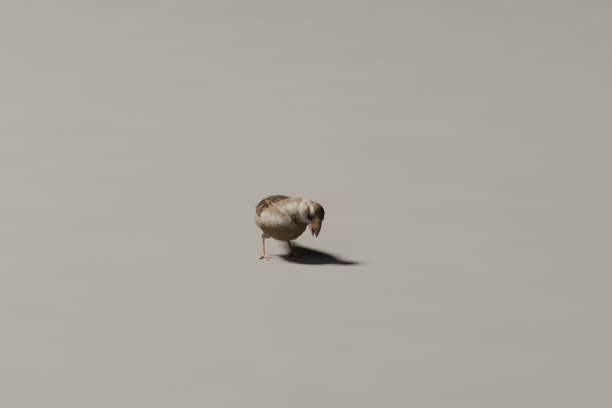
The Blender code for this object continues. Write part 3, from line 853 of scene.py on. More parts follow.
def scatter():
    """Chooses root places on the skin: face numbers of the places that are kept."""
    spacing = spacing_at(FACE_MIDDLE)
    odds = FACE_AREA / spacing**2
    odds /= odds.sum()
    offers = chance.choice(len(odds), size=OFFERS, p=odds)
    _, first = np.unique(offers, return_index=True)
    offers = offers[np.sort(first)]
    kept, grid = [], {}
    places = FACE_MIDDLE[offers]
    homes = np.floor(places / GRID_CELL).astype(int)
    near = [(i, j, k) for i in (-1, 0, 1) for j in (-1, 0, 1) for k in (-1, 0, 1)]
    for n, (place, home, gap) in enumerate(zip(places, map(tuple, homes), spacing[offers])):
        fits = True
        for step in near:
            for other in grid.get((home[0] + step[0], home[1] + step[1], home[2] + step[2]), ()):
                d = place - other
                if d[0] * d[0] + d[1] * d[1] + d[2] * d[2] < gap * gap:
                    fits = False
                    break
            if not fits:
                break
        if fits:
            kept.append(n)
            grid.setdefault(home, []).append(place)
    return offers[kept]


_, wing_q, wing_in = wing_grid(FACE_MIDDLE)
bare = on_leg(FACE_MIDDLE) | ((wing_in > np.where(wing_q > 0.4, 0.6, 1.6)) & ~tucked(FACE_MIDDLE))
bare |= (on_mantle(FACE_MIDDLE, FACE_NORMAL) > 0.7) & (FACE_MIDDLE[:, 1] < 13)
head_spots = in_head(FACE_MIDDLE)
bare |= (off_eyes(head_spots) < 2.72) & (np.abs(head_spots[:, 2]) > 4)
bare |= in_mouth(head_spots) | at_gape(head_spots)
FACE_AREA[bare] = 0.0
ROOT_FACES = scatter()
ROOTS, ROOT_UV = FACE_MIDDLE[ROOT_FACES], FACE_UV[ROOT_FACES]
ROOT_NORMALS = FACE_NORMAL[ROOT_FACES]
print("feathers with a place:", len(ROOTS))

# %% [markdown]
# ## A feather
#
# A vane is a comb of barbs that slope off the shaft and hook together.  So each feather is built
# from flat barb strips that overlap like slats, which gives ragged ends, small splits and a soft
# outline.  One pattern is made once, and arrays bend, widen and colour it for every root.


# %% One feather, bent for every root
def feather_pattern(barbs, runs=(0, 0.5, 0.82, 1), first=0.06, sweep=0.26, shoulder=0.55, aspect=0.3,
                    base_wide=0.5, hairy=0.25, closed=0.62, cover=1.35, tip=1.04, trim=False):
    """A flat feather: shaft places x 0..1 and a little over, y -1..1, and which barb is whose.
    Barbs leave the shaft, curve towards the tip and end on a rounded outline; with trim, their
    ends are cut along the outline, as a stiff feather's margin is."""
    xs, ys, tilt, run, which, spans, faces = [], [], [], [], [], [], []
    gap = (0.97 - first) / (barbs - 1)
    turning = shoulder - sweep

    def rim(start):
        late = min(1.0, max(0.0, (start - turning) / (0.97 - turning))) * math.pi / 2
        end = start + sweep if late == 0 else shoulder + (tip - shoulder) * math.sin(late)
        return end, math.cos(late) * (base_wide + (1 - base_wide) * min(1.0, end / 0.35))

    for side in (-1.0, 1.0):
        for k in range(barbs):
            start = first + gap * k
            end, wide = rim(start)
            along, out = end - start, max(wide, 0.03)
            for m, r in enumerate(runs):
                x, y = start + along * r**1.35, out * r
                dx, dy = along * 1.35 * max(r, 0.1) ** 0.35, out * aspect
                size = math.hypot(dx, dy)
                taper = 1 - (1 - hairy) * max(0.0, (r - closed) / (1 - closed))
                half = 0.5 * gap * cover * taper
                base = len(xs)
                for edge in (-1.0, 1.0):
                    if trim and r == 1:
                        x_end, y_end = rim(start + edge * 0.5 * gap * cover)
                        xs.append(x_end)
                        ys.append(side * y_end)
                    else:
                        xs.append(x + edge * half * dy / size)
                        ys.append(side * (y - edge * half * dx / size / aspect * min(1.0, r * 4)))
                    tilt.append(edge)
                    run.append(r)
                    which.append(k + (barbs if side > 0 else 0))
                    spans.append((along, out))
                if m:
                    a, b, c, d = base - 2, base - 1, base + 1, base
                    faces.append((a, b, c, d) if side > 0 else (d, c, b, a))
    return {"x": np.array(xs), "y": np.array(ys), "tilt": np.array(tilt), "run": np.array(run),
            "barb": np.array(which), "span": np.array(spans), "faces": np.array(faces),
            "barbs": 2 * barbs, "gap": gap}


# %% [markdown]
# ### Shafts laid on the skin
#
# A feather lies along the body.  Its shaft is walked over the skin in a few steps, each a step
# forward and then back to the nearest skin, and rises off it from root to tip.  Then every point
# of the pattern is bent between the shaft's stations.

# %% Laying shafts on the skin
def over_wing(spots):
    """How much higher feathers lie where they cross the folded wing's edge."""
    t, q, inside = wing_grid(spots)
    low = smooth(0.65, 0.2, q)
    rise = WING_GAP + 0.7 + np.maximum(2.2 * low, 1.8 * smooth(0.2, 0.08, t))
    return rise * smooth(-2.0 - 6.0 * low, 1.4, inside)


def faces_back(points, normals):
    """True on the blunt end of the trunk, round the root of the tail."""
    return (normals[..., 1] > 0.5) & (points[..., 1] > 18)


REACH = 1.12  # shafts are laid a little past the tip, where the last barbs end


def squared(share, places, upward):
    """Shafts as (shares, places, upward, across), with both ways square to the shaft's run."""
    along = unit(np.gradient(places, axis=1))
    across = unit(np.cross(upward, along))
    return share, places, unit(np.cross(along, across)), across


def grow(roots, normals, ways, lengths, heights, stations=5):
    """Lays each shaft along the skin: the places, normals and side ways at each station.
    Shafts that reach the trunk's blunt end run straight on, over the root of the tail."""
    count = len(roots)
    share = np.linspace(0, REACH, stations)
    places = np.empty((count, stations, 3))
    upward = np.empty_like(places)
    spot, way = roots.copy(), ways.copy()
    normal = normals.copy()
    for k in range(stations):
        if k:
            spot = spot + way * (lengths * (share[k] - share[k - 1]))[:, None]
            for i in range(count):
                hit, face_normal, _, _ = SKIN_TREE.find_nearest(spot[i])
                if faces_back(np.array(hit), np.array(face_normal)):
                    way[i] = unit(way[i] + 1.5 * unit(TAIL_SINK + 8 * TAIL_WAY - spot[i]))
                    normal[i] = unit(normal[i] - way[i] * np.dot(normal[i], way[i]))
                else:
                    spot[i], normal[i] = hit, face_normal
            way = laid(way, normal)
        rise = heights * (0.12 + 0.88 * min(share[k], 1.0) ** 0.85)
        rise = rise + over_wing(spot) * smooth(0.0, 0.5, share[k])
        places[:, k] = spot + normal * rise[:, None]
        upward[:, k] = normal
    return (*squared(share, places, upward), upward)


# %% Bending the pattern
def by_barb(pattern, count):
    """A random number for each barb of each feather, at every point of the barb."""
    return chance.normal(size=(count, pattern["barbs"]))[:, pattern["barb"]]


def reader(share, x):
    """A function that reads what is kept at the shafts' stations at places x along them."""
    x = np.clip(x, 0, share[-1] - 1e-6)
    slot = np.minimum((x / share[-1] * (len(share) - 1)).astype(int), len(share) - 2)
    part = (x / share[-1] * (len(share) - 1) - slot)[..., None]

    def read(values):
        rows = np.arange(len(values))[:, None]
        return values[rows, slot] * (1 - part) + values[rows, slot + 1] * part

    return read


def soft_normals(pattern, shafts, widths, cup, soft=0.8):
    """Shading directions that mostly follow the body, for the soft look of loose webs."""
    share, _, upward, across, body = shafts
    read = reader(share, pattern["x"][None])
    slope = 2 * cup[:, None] * pattern["y"][None] * widths[:, None]
    shaped = read(upward) + read(across) * slope[..., None]
    return unit(shaped * (1 - soft) + read(body) * soft)


def build_feathers(pattern, shafts, lengths, widths, cup, ragged=0.12, wave=0.0, lean=0.0):
    """All vertices of all feathers, (count, points, 3), from the pattern and the laid shafts.
    A positive lean widens the web on the feather's positive side and narrows the other."""
    share, places, upward, across = shafts[:4]
    count = len(lengths)
    longer = 1 + ragged * by_barb(pattern, count)
    run = pattern["run"]
    tuft = chance.normal(size=(count, pattern["barbs"] // 3 + 1))[:, pattern["barb"] // 3]
    x = pattern["x"][None] + run * (longer - 1) * 0.12 + run**2 * tuft * ragged * 0.16
    y = pattern["y"][None] * (1 + (longer - 1) * 0.6)
    y = y * (1 + np.reshape(lean, (-1, 1)) * np.sign(pattern["y"])[None])
    read = reader(share, x)
    lie, up, side = read(places), read(upward), read(across)
    slat = pattern["tilt"] * 0.03 * (lengths * pattern["gap"])[:, None]
    twist = 0.5 * ragged * chance.normal(size=(count, 1)) * (y * widths[:, None])
    curl = wave * run**2 * by_barb(pattern, count)
    rise = -cup[:, None] * (y * widths[:, None]) ** 2 + slat + curl + twist
    return lie + side * (y * widths[:, None])[..., None] + up * rise[..., None]


def rim_distance(pattern, lengths, widths):
    """About how far each point is from the ragged rim, in millimetres."""
    along, out = pattern["span"].T
    barb = np.hypot(0.45 * along[None] * lengths[:, None], out[None] * widths[:, None])
    return (1 - pattern["run"])[None] * barb


# %% [markdown]
# ### Feathers joined as pieces
#
# Thousands of separate objects would be slow, so the feathers of one region are one mesh, filled
# from arrays in one go.  Each has a tint at every point, a vane map for its barb lines, and its
# patch on the baking map.

# %% From arrays to pieces
def mesh_from(name, points, faces, material, tint, vane, bake, shading):
    """Makes a mesh object quickly from arrays of points in the bird's millimetres."""
    mesh = bpy.data.meshes.new(name)
    mesh.vertices.add(len(points))
    mesh.vertices.foreach_set("co", placed(points).ravel())
    mesh.loops.add(faces.size)
    mesh.loops.foreach_set("vertex_index", faces.ravel().astype(np.int32))
    mesh.polygons.add(len(faces))
    mesh.polygons.foreach_set("loop_start", np.arange(0, faces.size, 4, dtype=np.int32))
    mesh.polygons.foreach_set("use_smooth", np.ones(len(faces), bool))
    for layer, places in (("OFBake", bake), ("vane", vane)):
        mesh.uv_layers.new(name=layer).data.foreach_set("uv", places[faces.ravel()].ravel())
    set_tint(mesh, tint)
    mesh.update(calc_edges=True)
    if shading is not None:
        mesh.normals_split_custom_set_from_vertices(shading.reshape(-1, 3).tolist())
    mesh.materials.append(material)
    return new_object(name, mesh)


PATCH = 0.003  # a small feather's patch, as a share of the skin's map


def root_patches(pattern, root_uv):
    """A small patch of the baking map for each feather, at its root's place on the skin's map."""
    flat = np.stack([pattern["y"] * 0.5, np.clip(pattern["x"], 0, 1.2) - 0.5], axis=-1)
    return (root_uv[:, None] + flat[None] * PATCH).reshape(-1, 2)


def cells(pattern, count):
    """Gives each large feather a cell of its own on the piece's baking map."""
    side = math.ceil(math.sqrt(count))
    flat = np.stack([pattern["y"] * 0.5 + 0.5, np.clip(pattern["x"] / 1.2, 0, 1)], axis=-1)
    spots = np.stack([np.arange(count) % side, np.arange(count) // side], axis=-1)
    return ((spots[:, None] + 0.04 + flat[None] * 0.92) / side).reshape(-1, 2)


def feather_piece(name, pattern, points, tint, bake, material, slot, shading=None):
    """Joins feathers into one piece, each with a vane map shifted by whole steps."""
    count, each = points.shape[:2]
    faces = (pattern["faces"][None] + (np.arange(count) * each)[:, None, None]).reshape(-1, 4)
    flat = np.stack([pattern["y"] * 0.5 + 0.5, np.clip(pattern["x"], 0, 1.2)], axis=-1)
    vane = np.tile(flat, (count, 1)) + np.repeat(chance.integers(0, 40, (count, 1)), each, axis=0)
    piece = mesh_from(name, points.reshape(-1, 3), faces, material, tint.reshape(-1, 3), vane, bake,
                      shading)
    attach(piece, "root")
    print(name, count, "feathers,", len(faces) * 2, "triangles")
    return piece


# %% [markdown]
# ### Materials of the coat
#
# Feather keratin is matt and fibrous.  Barbs show as fine slanting lines on each vane, and pigment
# is never even, so the painted tint is broken by barb lines, by mottling over the whole bird and
# by a little sheen at grazing light.


# %% Feather keratin
def plumage_material(name, barb_scale, contrast, rough, sheen):
    """Matt keratin: painted tint, barb lines on the vane map, mottling over the bird."""
    material, tree, shader = principled(name, rough, 0.15)
    tint = add(tree, "ShaderNodeAttribute", {"attribute_name": "tint"})
    vane = add(tree, "ShaderNodeUVMap", {"uv_map": "vane"})
    split = add(tree, "ShaderNodeSeparateXYZ", Vector=vane.outputs["UV"])
    local = add(tree, "ShaderNodeMath", {"operation": "FRACT"}, i0=split.outputs["X"])
    side = add(tree, "ShaderNodeMath", MINUS, i0=local, i1=0.5)
    off = add(tree, "ShaderNodeMath", {"operation": "ABSOLUTE"}, i0=side)
    slope = add(tree, "ShaderNodeMath", TIMES, i0=off, i1=0.62)
    line = add(tree, "ShaderNodeMath", MINUS, i0=split.outputs["Y"], i1=slope)
    rows = add(tree, "ShaderNodeMath", TIMES, i0=line, i1=barb_scale)
    wave = add(tree, "ShaderNodeMath", {"operation": "SINE"}, i0=rows)
    place = add(tree, "ShaderNodeTexCoord")
    barbs = add(tree, "ShaderNodeMapRange", Value=wave, i1=-1.0, i2=1.0, i3=1 - contrast,
                i4=1 + contrast * 0.5)
    specks = mottled(tree, place.outputs["Object"], 2600.0, 3.0, 0.86, 1.12, 0.6)
    patches = mottled(tree, place.outputs["Object"], 190.0, 4.0, 0.84, 1.14, 0.55)
    shade = add(tree, "ShaderNodeMath", TIMES, i0=barbs, i1=specks)
    shade = add(tree, "ShaderNodeMath", TIMES, i0=shade, i1=patches)
    surfaced(tree, shader, tint.outputs["Color"], shade, wave, 0.35, 0.00003)
    shader.inputs["Sheen Weight"].default_value = sheen
    shader.inputs["Sheen Roughness"].default_value = 0.45
    shader.inputs["Sheen Tint"].default_value = rgba("e8dccb")
    return material


SOFT_PLUMAGE = plumage_material("contour feather keratin", 230.0, 0.08, 0.9, 0.04)
FIRM_PLUMAGE = plumage_material("flight feather keratin", 420.0, 0.10, 0.6, 0.03)
print("finishes of the coat:", SOFT_PLUMAGE.name, "and", FIRM_PLUMAGE.name)


# %% [markdown]
# ### The body's contour feathers
#
# Each feather takes its ground tone from the place where it grows, with a downy grey base, a
# paler rim and its own slight shade.  Those round the edge of the back have one black web, to run
# into its streaks.  The pieces are kept small, so that each can be worked on alone.


# %% Sizes of the contour feathers
def sizes_at(points):
    """Length, half width and height of the coat at each root."""
    spots, face, eye = near_face(points)
    share = on_head(points)
    near = np.minimum(smooth(3.5, 13, face), smooth(3.2, 7.5, eye))
    eye_far = np.where(np.abs(spots[:, 2]) > 4, off_eyes(spots), 99.0)
    head_long = 1.0 + 3.2 * near
    head_high = 0.42 + 0.62 * smooth(4, 10, face)
    back = points[:, 1]
    body_long = 5.0 + 3.8 * smooth(-30, 2, back) + 2.6 * smooth(16, 30, back)
    thigh = on_thigh(points)
    clear = np.maximum((eye_far - 2.3) * 0.85, 0.45)
    head_long = np.where((spots[:, 0] > -1) & (eye_far < 4.5), np.minimum(head_long, clear), head_long)
    long = head_long * share + body_long * (1 - share)
    long = long * (1 - thigh) + 3.0 * thigh
    high = head_high * share + 2.25 * (1 - share)
    high = high * (1 - thigh) + 0.45 * thigh
    t, q, _ = wing_grid(points, 0.08)
    ahead = 3.0 - t * WING_LENGTH
    stops = (t < 0.06) & (q > 0.4) & (q < 1.05)
    long = np.where(stops, np.minimum(long, np.maximum(ahead, 3.0)), long)
    wide = long * (0.31 - 0.11 * share)
    return long, wide, high


# %% Colours of the contour feathers
def contour_tint(pattern, roots, normals, long, wide):
    """The colour of every point of every contour feather."""
    tone = tone_at(roots, normals)
    share = on_head(roots)
    tone = tone * (1 + 0.07 * chance.normal(size=(len(roots), 1)))
    rim = rim_distance(pattern, long, wide)
    x, y = pattern["x"][None], pattern["y"][None]
    rim_share = smooth(0.55, 0.1, rim) * (x > 0.35)
    paler = tone * 1.13 + 0.012
    tint = mix(tone[:, None], paler[:, None], rim_share * 0.6)
    down = smooth(0.5, 0.15, x) * (1 - np.maximum(0.7 * share, on_thigh(roots)))[:, None]
    tint = mix(tint, TONES["down"], down * 0.55)
    mantle = on_mantle(roots, normals) * smooth(21, 16, roots[:, 1]) * (1 - share)
    streaked = (chance.random(len(roots)) < 0.85) * mantle
    inner = np.sign(swing(roots[:, 1]) - roots[:, 0])
    web = (inner * np.where(chance.random(len(roots)) < 0.2, -1, 1))[:, None]
    dark = smooth(-0.4, -0.15, y * web) * smooth(0.3, 0.42, x) * smooth(0.2, 0.45, rim)
    rufous = smooth(0.1, 0.3, chance.random(len(roots)))[:, None] * (mantle[:, None] > 0.3)
    tint = mix(tint, TONES["buff"], smooth(-0.2, -0.45, y * web) * rufous * 0.55)
    tint = mix(tint, TONES["black"], dark * streaked[:, None] * 0.95)
    pale = smooth(0.45, 0.15, rim) * (mantle > 0.3)[:, None] * smooth(0.4, 0.6, x)
    tint = mix(tint, TONES["buff"], pale * 0.6)
    crown = share * smooth(4.2, 5.6, in_head(roots)[:, 1])
    streak = smooth(0.35, 0.08, np.abs(y)) * smooth(0.3, 0.6, x)
    tint = mix(tint, (tint * 0.55), streak * crown[:, None] * 0.7)
    plain = (1 - mantle) * (1 - crown)
    shaft = smooth(0.16, 0.03, np.abs(y)) * smooth(0.4, 0.7, x) * 0.22
    tint = mix(tint, tint * 0.6, shaft * plain[:, None])
    strand = 1 + 0.05 * by_barb(pattern, len(roots))
    return tint * strand[..., None]


# %% Growing the contour feathers
def swayed_lie(roots, normals, sway):
    """The coat's lie at each root, turned a little by chance."""
    ways = lie_at(roots, normals)
    turn = sway * chance.normal(size=len(roots))
    return unit(ways + np.cross(normals, ways) * turn[:, None])


def contour_piece(name, chosen, pattern, slot, ragged=0.16):
    """Lays, bends, paints and joins the contour feathers of one region."""
    roots, normals, uv = ROOTS[chosen], ROOT_NORMALS[chosen], ROOT_UV[chosen]
    long, wide, high = sizes_at(roots)
    long = long * (1 + 0.1 * chance.normal(size=len(long)))
    ways = swayed_lie(roots, normals, 0.13)
    high = high * (1 + 0.1 * chance.normal(size=len(high)))
    shafts = grow(roots, normals, ways, long, high)
    course = in_head(shafts[1])
    clear = ~((off_eyes(course) < 2.3) & (np.abs(course[..., 2]) > 5.5)).any(axis=1)
    clear &= ~faces_back(roots, normals)
    t, _, inside = wing_grid(shafts[1])
    clear &= ~((inside > 0.7) & (t > 0.5)).any(axis=1)
    shafts = (shafts[0], *(part[clear] for part in shafts[1:]))
    roots, normals, uv = roots[clear], normals[clear], uv[clear]
    long, wide = long[clear], wide[clear]
    share = on_head(roots)
    cup = 1 / (2 * (7.5 * share + 17.0 * (1 - share)))
    points = build_feathers(pattern, shafts, long, wide, cup, ragged, wave=0.02)
    tint = contour_tint(pattern, roots, normals, long, wide)
    shading = soft_normals(pattern, shafts, wide, cup)
    return feather_piece(name, pattern, points, tint, root_patches(pattern, uv), SOFT_PLUMAGE, slot,
                         shading)


# %% The coat's regions
root_low = ROOT_NORMALS[:, 2] < 0.1
root_side = ROOTS[:, 0] < 0
TINY = feather_pattern(6, runs=(0, 0.6, 1), first=0.1, sweep=0.34, hairy=0.15, closed=0.35, aspect=0.2)
SMALL = feather_pattern(13, sweep=0.3, hairy=0.12, closed=0.5, aspect=0.24)
LARGE = feather_pattern(32, runs=(0, 0.45, 0.8, 1), hairy=0.12, closed=0.76, aspect=0.33)
spots, from_base, _ = near_face(ROOTS)
head = on_head(ROOTS) > 0.5
face = head & ((from_base < 6.8) | (off_eyes(spots) < 4.6) & (np.abs(spots[:, 2]) > 3))
front = ROOTS[:, 1] < -8
REGIONS = {
    "face_feathers": (face, TINY, "plumage_brown"),
    "head_feathers_right": (head & ~face & (spots[:, 2] >= 0), SMALL, "plumage_brown"),
    "head_feathers_left": (head & ~face & (spots[:, 2] < 0), SMALL, "plumage_brown"),
    "breast_feathers_right": (~head & root_low & front & root_side, LARGE, "plumage_grey"),
    "breast_feathers_left": (~head & root_low & front & ~root_side, LARGE, "plumage_grey"),
    "belly_feathers_right": (~head & root_low & ~front & root_side, LARGE, "plumage_grey"),
    "belly_feathers_left": (~head & root_low & ~front & ~root_side, LARGE, "plumage_grey"),
    "neck_feathers": (~head & ~root_low & (ROOTS[:, 1] < -12), LARGE, "plumage_grey"),
    "mantle_feathers": (~head & ~root_low & (ROOTS[:, 1] >= -12) & (ROOTS[:, 1] < 10), LARGE,
                        "plumage_brown"),
    "rump_feathers": (~head & ~root_low & (ROOTS[:, 1] >= 10), LARGE, "plumage_grey"),
}
COAT = {region: contour_piece(region, *how) for region, how in REGIONS.items()}

# %% [markdown]
# ## The streaked mantle
#
# The feathers of the back are the largest of the body, and each has a black inner web and a brown
# outer one.  They lie one behind another in files, so the black runs on from feather to feather
# as long streaks, with a paler buff line down each side.  A scatter would break the streaks into
# spots, so these are rooted in files, by casting from the body's axis out to the skin.

# %% Files of mantle feathers
MANTLE_LONG, MANTLE_WIDE, MANTLE_HIGH, MANTLE_CUP = 9.6, 2.5, 2.3, 0.028
ROW_STEP, FILE_TURN = 2.4, 0.142  # millimetres along the back, and radians round it
MANTLE = feather_pattern(44, runs=(0, 0.45, 0.8, 1), hairy=0.1, closed=0.82, aspect=0.3)


def mantle_roots():
    """Places for the back's feathers, with the number of the file each is in."""
    found = []
    for back in np.arange(-19.0, 16.0, ROW_STEP):
        for file in range(-9, 10):
            turn = (file + 0.12 * chance.normal()) * FILE_TURN
            start = (swing(back), back + 0.25 * chance.normal(), 34.0)
            hit, normal, face, _ = SKIN_TREE.ray_cast(start, (math.sin(turn), 0, math.cos(turn)))
            if hit is not None:
                found.append((*hit, *normal, face, file))
    found = np.array(found)
    roots, normals = found[:, :3], found[:, 3:6]
    keep = (on_mantle(roots, normals) > 0.4) & (wing_grid(roots)[2] < 3.4)
    keep &= on_head(roots) < 0.3
    return roots[keep], normals[keep], found[keep, 6].astype(int), found[keep, 7]


# %% Colours of the mantle
def mantle_tint(pattern, roots, file, long, wide):
    """Black inner webs, brown outer ones, and buff lines along some files."""
    count = len(roots)
    rim = rim_distance(pattern, long, wide)
    x, y = pattern["x"][None], pattern["y"][None]
    web = y * np.where(file > 0, -1, 1)[:, None]  # below 0 on the web next the spine
    base = TONES["mantle"] * (1 + 0.10 * chance.normal(size=(count, 1)))
    base = mix(base, TONES["nape"] * 0.7, smooth(-8, -16, roots[:, 1]) * 0.5)
    line = np.isin(np.abs(file), (3, 4, 7))[:, None]
    outer = smooth(0.05, 0.3, web)
    tint = mix(base[:, None], TONES["buff"] * 1.7, outer * np.where(line, 0.85, 0.22))
    fringe = smooth(0.55, 0.2, rim) * smooth(0.35, 0.6, x)
    tint = mix(tint, TONES["buff"], fringe * 0.45)
    bold = (chance.random(count) < 0.9)[:, None] * (0.75 + 0.2 * chance.random((count, 1)))
    reach = 0.16 + 0.06 * chance.normal(size=(count, 1))
    dark = smooth(reach, reach - 0.14, web) * smooth(-0.98, -0.72, web) * smooth(0.2, 0.3, x)
    tint = mix(tint, TONES["black"], dark * smooth(1.03, 0.93, x) * bold)
    down = smooth(0.3, 0.15, x)
    tint = mix(tint, TONES["down"], down * 0.6)
    strand = 1 + 0.06 * by_barb(pattern, count)
    return tint * strand[..., None]


# %% Growing the mantle
roots, normals, faces, files = mantle_roots()
long = MANTLE_LONG * (1 + 0.05 * chance.normal(size=len(roots)))
wide = np.full(len(roots), MANTLE_WIDE)
ways = swayed_lie(roots, normals, 0.05)
shafts = grow(roots, normals, ways, long, np.full(len(roots), MANTLE_HIGH), stations=6)
cup = np.full(len(roots), MANTLE_CUP)
points = build_feathers(MANTLE, shafts, long, wide, cup, 0.08, wave=0.02)
tint = mantle_tint(MANTLE, roots, files, long, wide)
COAT["mantle_files"] = feather_piece("mantle_files", MANTLE, points, tint,
                                     root_patches(MANTLE, FACE_UV[faces]), SOFT_PLUMAGE,
                                     "plumage_brown", soft_normals(MANTLE, shafts, wide, cup, 0.5))

# %% [markdown]
# ## Wing and tail feathers
#
# A folded wing is a stack.  The longest primaries lie lowest and outermost, the secondaries over
# them, three broad tertials on top, and rows of coverts close the front like tiles.  Each group is
# given by where its first and last feathers start and end on the wing, and evenly between.

# %% The wing's groups of feathers
FLIGHT = feather_pattern(84, runs=(0, 0.4, 0.7, 0.88, 1), first=0.02, sweep=0.06, shoulder=0.86,
                         aspect=0.06, hairy=0.9, closed=0.88, tip=1.02, cover=1.5, trim=True)
COVERT = feather_pattern(32, runs=(0, 0.4, 0.68, 0.86, 1), first=0.04, sweep=0.16, shoulder=0.66,
                         aspect=0.22, hairy=0.8, closed=0.8, trim=True)
WING_TONES = {name: paint(code) for name, code in {
    "dusk": "17120e", "rufous": "432e1c", "edge": "5a452d", "pale": "8a7c63", "lesser": "120d09",
    "tail": "2e2620", "tail_edge": "5c4c38"}.items()}
# Name, count, then for the first and last feather root t, root q, tip t and tip q, half width,
# heights, pattern, lean, and (middle tone, edge tone, edge width, tip tone, tip width)
GROUPS = (
    ("primaries", 8, (0.16, 0.20), (0.05, 0.22), (0.99, 0.80), (0.34, 0.66), 1.75, (0.15, 0.55),
     FLIGHT, 0.45, ("dusk", "edge", 0.42, "dusk", 0.5)),
    ("secondaries", 6, (0.22, 0.25), (0.22, 0.50), (0.76, 0.66), (0.30, 0.66), 2.5, (0.60, 0.95),
     FLIGHT, 0.35, ("dusk", "rufous", 0.62, "edge", 0.5)),
    ("tertials", 3, (0.26, 0.26), (0.62, 0.82), (0.70, 0.55), (0.62, 0.84), 3.1, (1.05, 1.45),
     FLIGHT, 0.10, ("dusk", "edge", 1.05, "pale", 1.0)),
    ("alula", 3, (0.04, 0.03), (0.02, 0.14), (0.27, 0.17), (0.05, 0.16), 1.5, (0.70, 1.0),
     COVERT, 0.30, ("dusk", "edge", 0.4, "edge", 0.4)),
    ("primary_coverts", 6, (0.12, 0.16), (0.03, 0.16), (0.40, 0.43), (0.05, 0.20), 1.6, (0.55, 0.9),
     COVERT, 0.30, ("dusk", "edge", 0.45, "edge", 0.4)),
    ("greater_coverts", 10, (0.16, 0.17), (0.12, 0.90), (0.40, 0.43), (0.12, 0.90), 2.1, (1.1, 1.5),
     COVERT, 0.25, ("dusk", "rufous", 0.85, "edge", 0.9)),
    ("median_coverts", 10, (0.09, 0.09), (0.08, 0.92), (0.235, 0.25), (0.10, 0.92), 2.0, (1.5, 1.7),
     COVERT, 0.10, ("dusk", "edge", 0.45, "pale", 1.3)),
)
print(sum(group[1] for group in GROUPS), "feathers to lay on each wing, and the lesser coverts")

# %% Laying wing shafts
def even(pair, count):
    """Evenly spaced values from the first of the pair to the last."""
    return np.linspace(pair[0], pair[1], count)


def wing_shafts(side, root_t, root_q, tip_t, tip_q, low, high, stations=9):
    """Lays shafts over the folded wing's surface."""
    share = np.linspace(0, REACH, stations)
    t = root_t[:, None] + (tip_t - root_t)[:, None] * share
    ease = smooth(0, 1, share) * 0.5 + share * 0.5
    q = root_q[:, None] + (tip_q - root_q)[:, None] * ease
    out = low[:, None] + (high - low)[:, None] * np.minimum(share, 1.0) ** 0.7
    places = wing_place(side, t, q, out)
    step = 0.004
    back = wing_place(side, t + step, q, out) - wing_place(side, t - step, q, out)
    rise = wing_place(side, t, q + step, out) - wing_place(side, t, q - step, out)
    upward = unit(np.cross(rise, back)) * side
    length = np.linalg.norm(np.diff(places, axis=1), axis=2).sum(axis=1) / REACH
    return squared(share, places, upward), length


# %% Making the wings
def vane_tint(pattern, lengths, widths, middle, edge, edge_wide, tip, tip_wide, shaft=0.6):
    """Dark middle, coloured edge and tip, and a darker shaft."""
    middle, edge, tip = WING_TONES[middle], WING_TONES[edge], WING_TONES[tip]
    rim = rim_distance(pattern, lengths, widths)
    x, y = pattern["x"][None], pattern["y"][None]
    shade = 1 + 0.05 * chance.normal(size=(len(lengths), 1, 1))
    at_edge = smooth(edge_wide, edge_wide * 0.35, rim) * smooth(0.12, 0.4, x)
    tint = mix(middle * shade, edge * shade, at_edge)
    to_tip = (1.04 - x) * lengths[:, None]
    tint = mix(tint, tip * shade, smooth(tip_wide, tip_wide * 0.4, to_tip) * 0.9)
    return mix(tint, tint * shaft, smooth(0.09, 0.02, np.abs(y)) * 0.7)


def firm_piece(name, slot, pattern, laid_out, widths, cup, lean, tones, ragged=0.03, wave=0.01):
    """Bends, paints and joins one group of stiff feathers."""
    shafts, lengths = laid_out
    cup = np.full(len(lengths), cup)
    points = build_feathers(pattern, shafts, lengths, widths, cup, ragged, wave, lean)
    tint = vane_tint(pattern, lengths, widths, *tones)
    bake = cells(pattern, len(lengths))
    return feather_piece(name, pattern, points, tint, bake, FIRM_PLUMAGE, slot)


def feather_group(side, group):
    """One group of a wing's feathers, laid, painted and joined."""
    name, count, root_t, root_q, tip_t, tip_q, half, heights, pattern, lean, tones = group
    high = even(heights, count)
    ends = (even(pair, count) for pair in (root_t, root_q, tip_t, tip_q))
    laid_out = wing_shafts(side, *ends, high - 0.35, high)
    return firm_piece(f"{name}_{SIDES[side]}", "wing_brown", pattern, laid_out,
                      np.full(count, half), 0.028, np.full(count, lean * side), tones)


LESSER_HIGH, LESSER_LONG, LESSER_WIDE = 1.45, 0.085, 1.55  # long as a share of the wing


def lesser_coverts(side, rows=6, each=11):
    """Small round feathers that tile the bend of the wing."""
    row, place = (grid.ravel() for grid in np.meshgrid(np.arange(rows), np.arange(each)))
    t = 0.005 + 0.024 * row + 0.004 * chance.normal(size=len(row))
    q = (place + 0.5 * (row % 2)) / each + 0.015 * chance.normal(size=len(row))
    keep = (q > 0.3 - 1.4 * t) & (q < 1.0)
    t, q = t[keep], q[keep]
    low = np.full(len(t), LESSER_HIGH)
    laid_out = wing_shafts(side, t, q, t + LESSER_LONG, q, low - 0.5, low + 0.25, stations=5)
    return firm_piece(f"lesser_coverts_{SIDES[side]}", "wing_brown", COVERT, laid_out,
                      np.full(len(t), LESSER_WIDE), 0.03, 0.0,
                      ("lesser", "edge", 0.42, "edge", 0.35, 0.5), ragged=0.06, wave=0.03)


for side, word in SIDES.items():
    made = [feather_group(side, group) for group in GROUPS] + [lesser_coverts(side)]
    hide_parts(f"wing_{word}")

# %% [markdown]
# ### The tail
#
# Twelve feathers lie in a closed fan, notched in the middle.  The outer ones are laid first and
# lowest, so that the middle pair covers them, and all arch slightly from side to side.

# %% Tail feathers
TAIL_ROOT, TAIL_LENGTH, TAIL_NOTCH = np.array([2.0, 28.0, 38.0]), 59.0, 2.4
TAIL_COUNT, TAIL_WIDE = 12, 2.7
TAIL_TURN = (Matrix.Rotation(math.radians(-7.0), 3, "Z")
             @ Matrix.Rotation(math.radians(-10.0), 3, "X"))
TAIL_AXES = np.array([list(row) for row in TAIL_TURN]).T


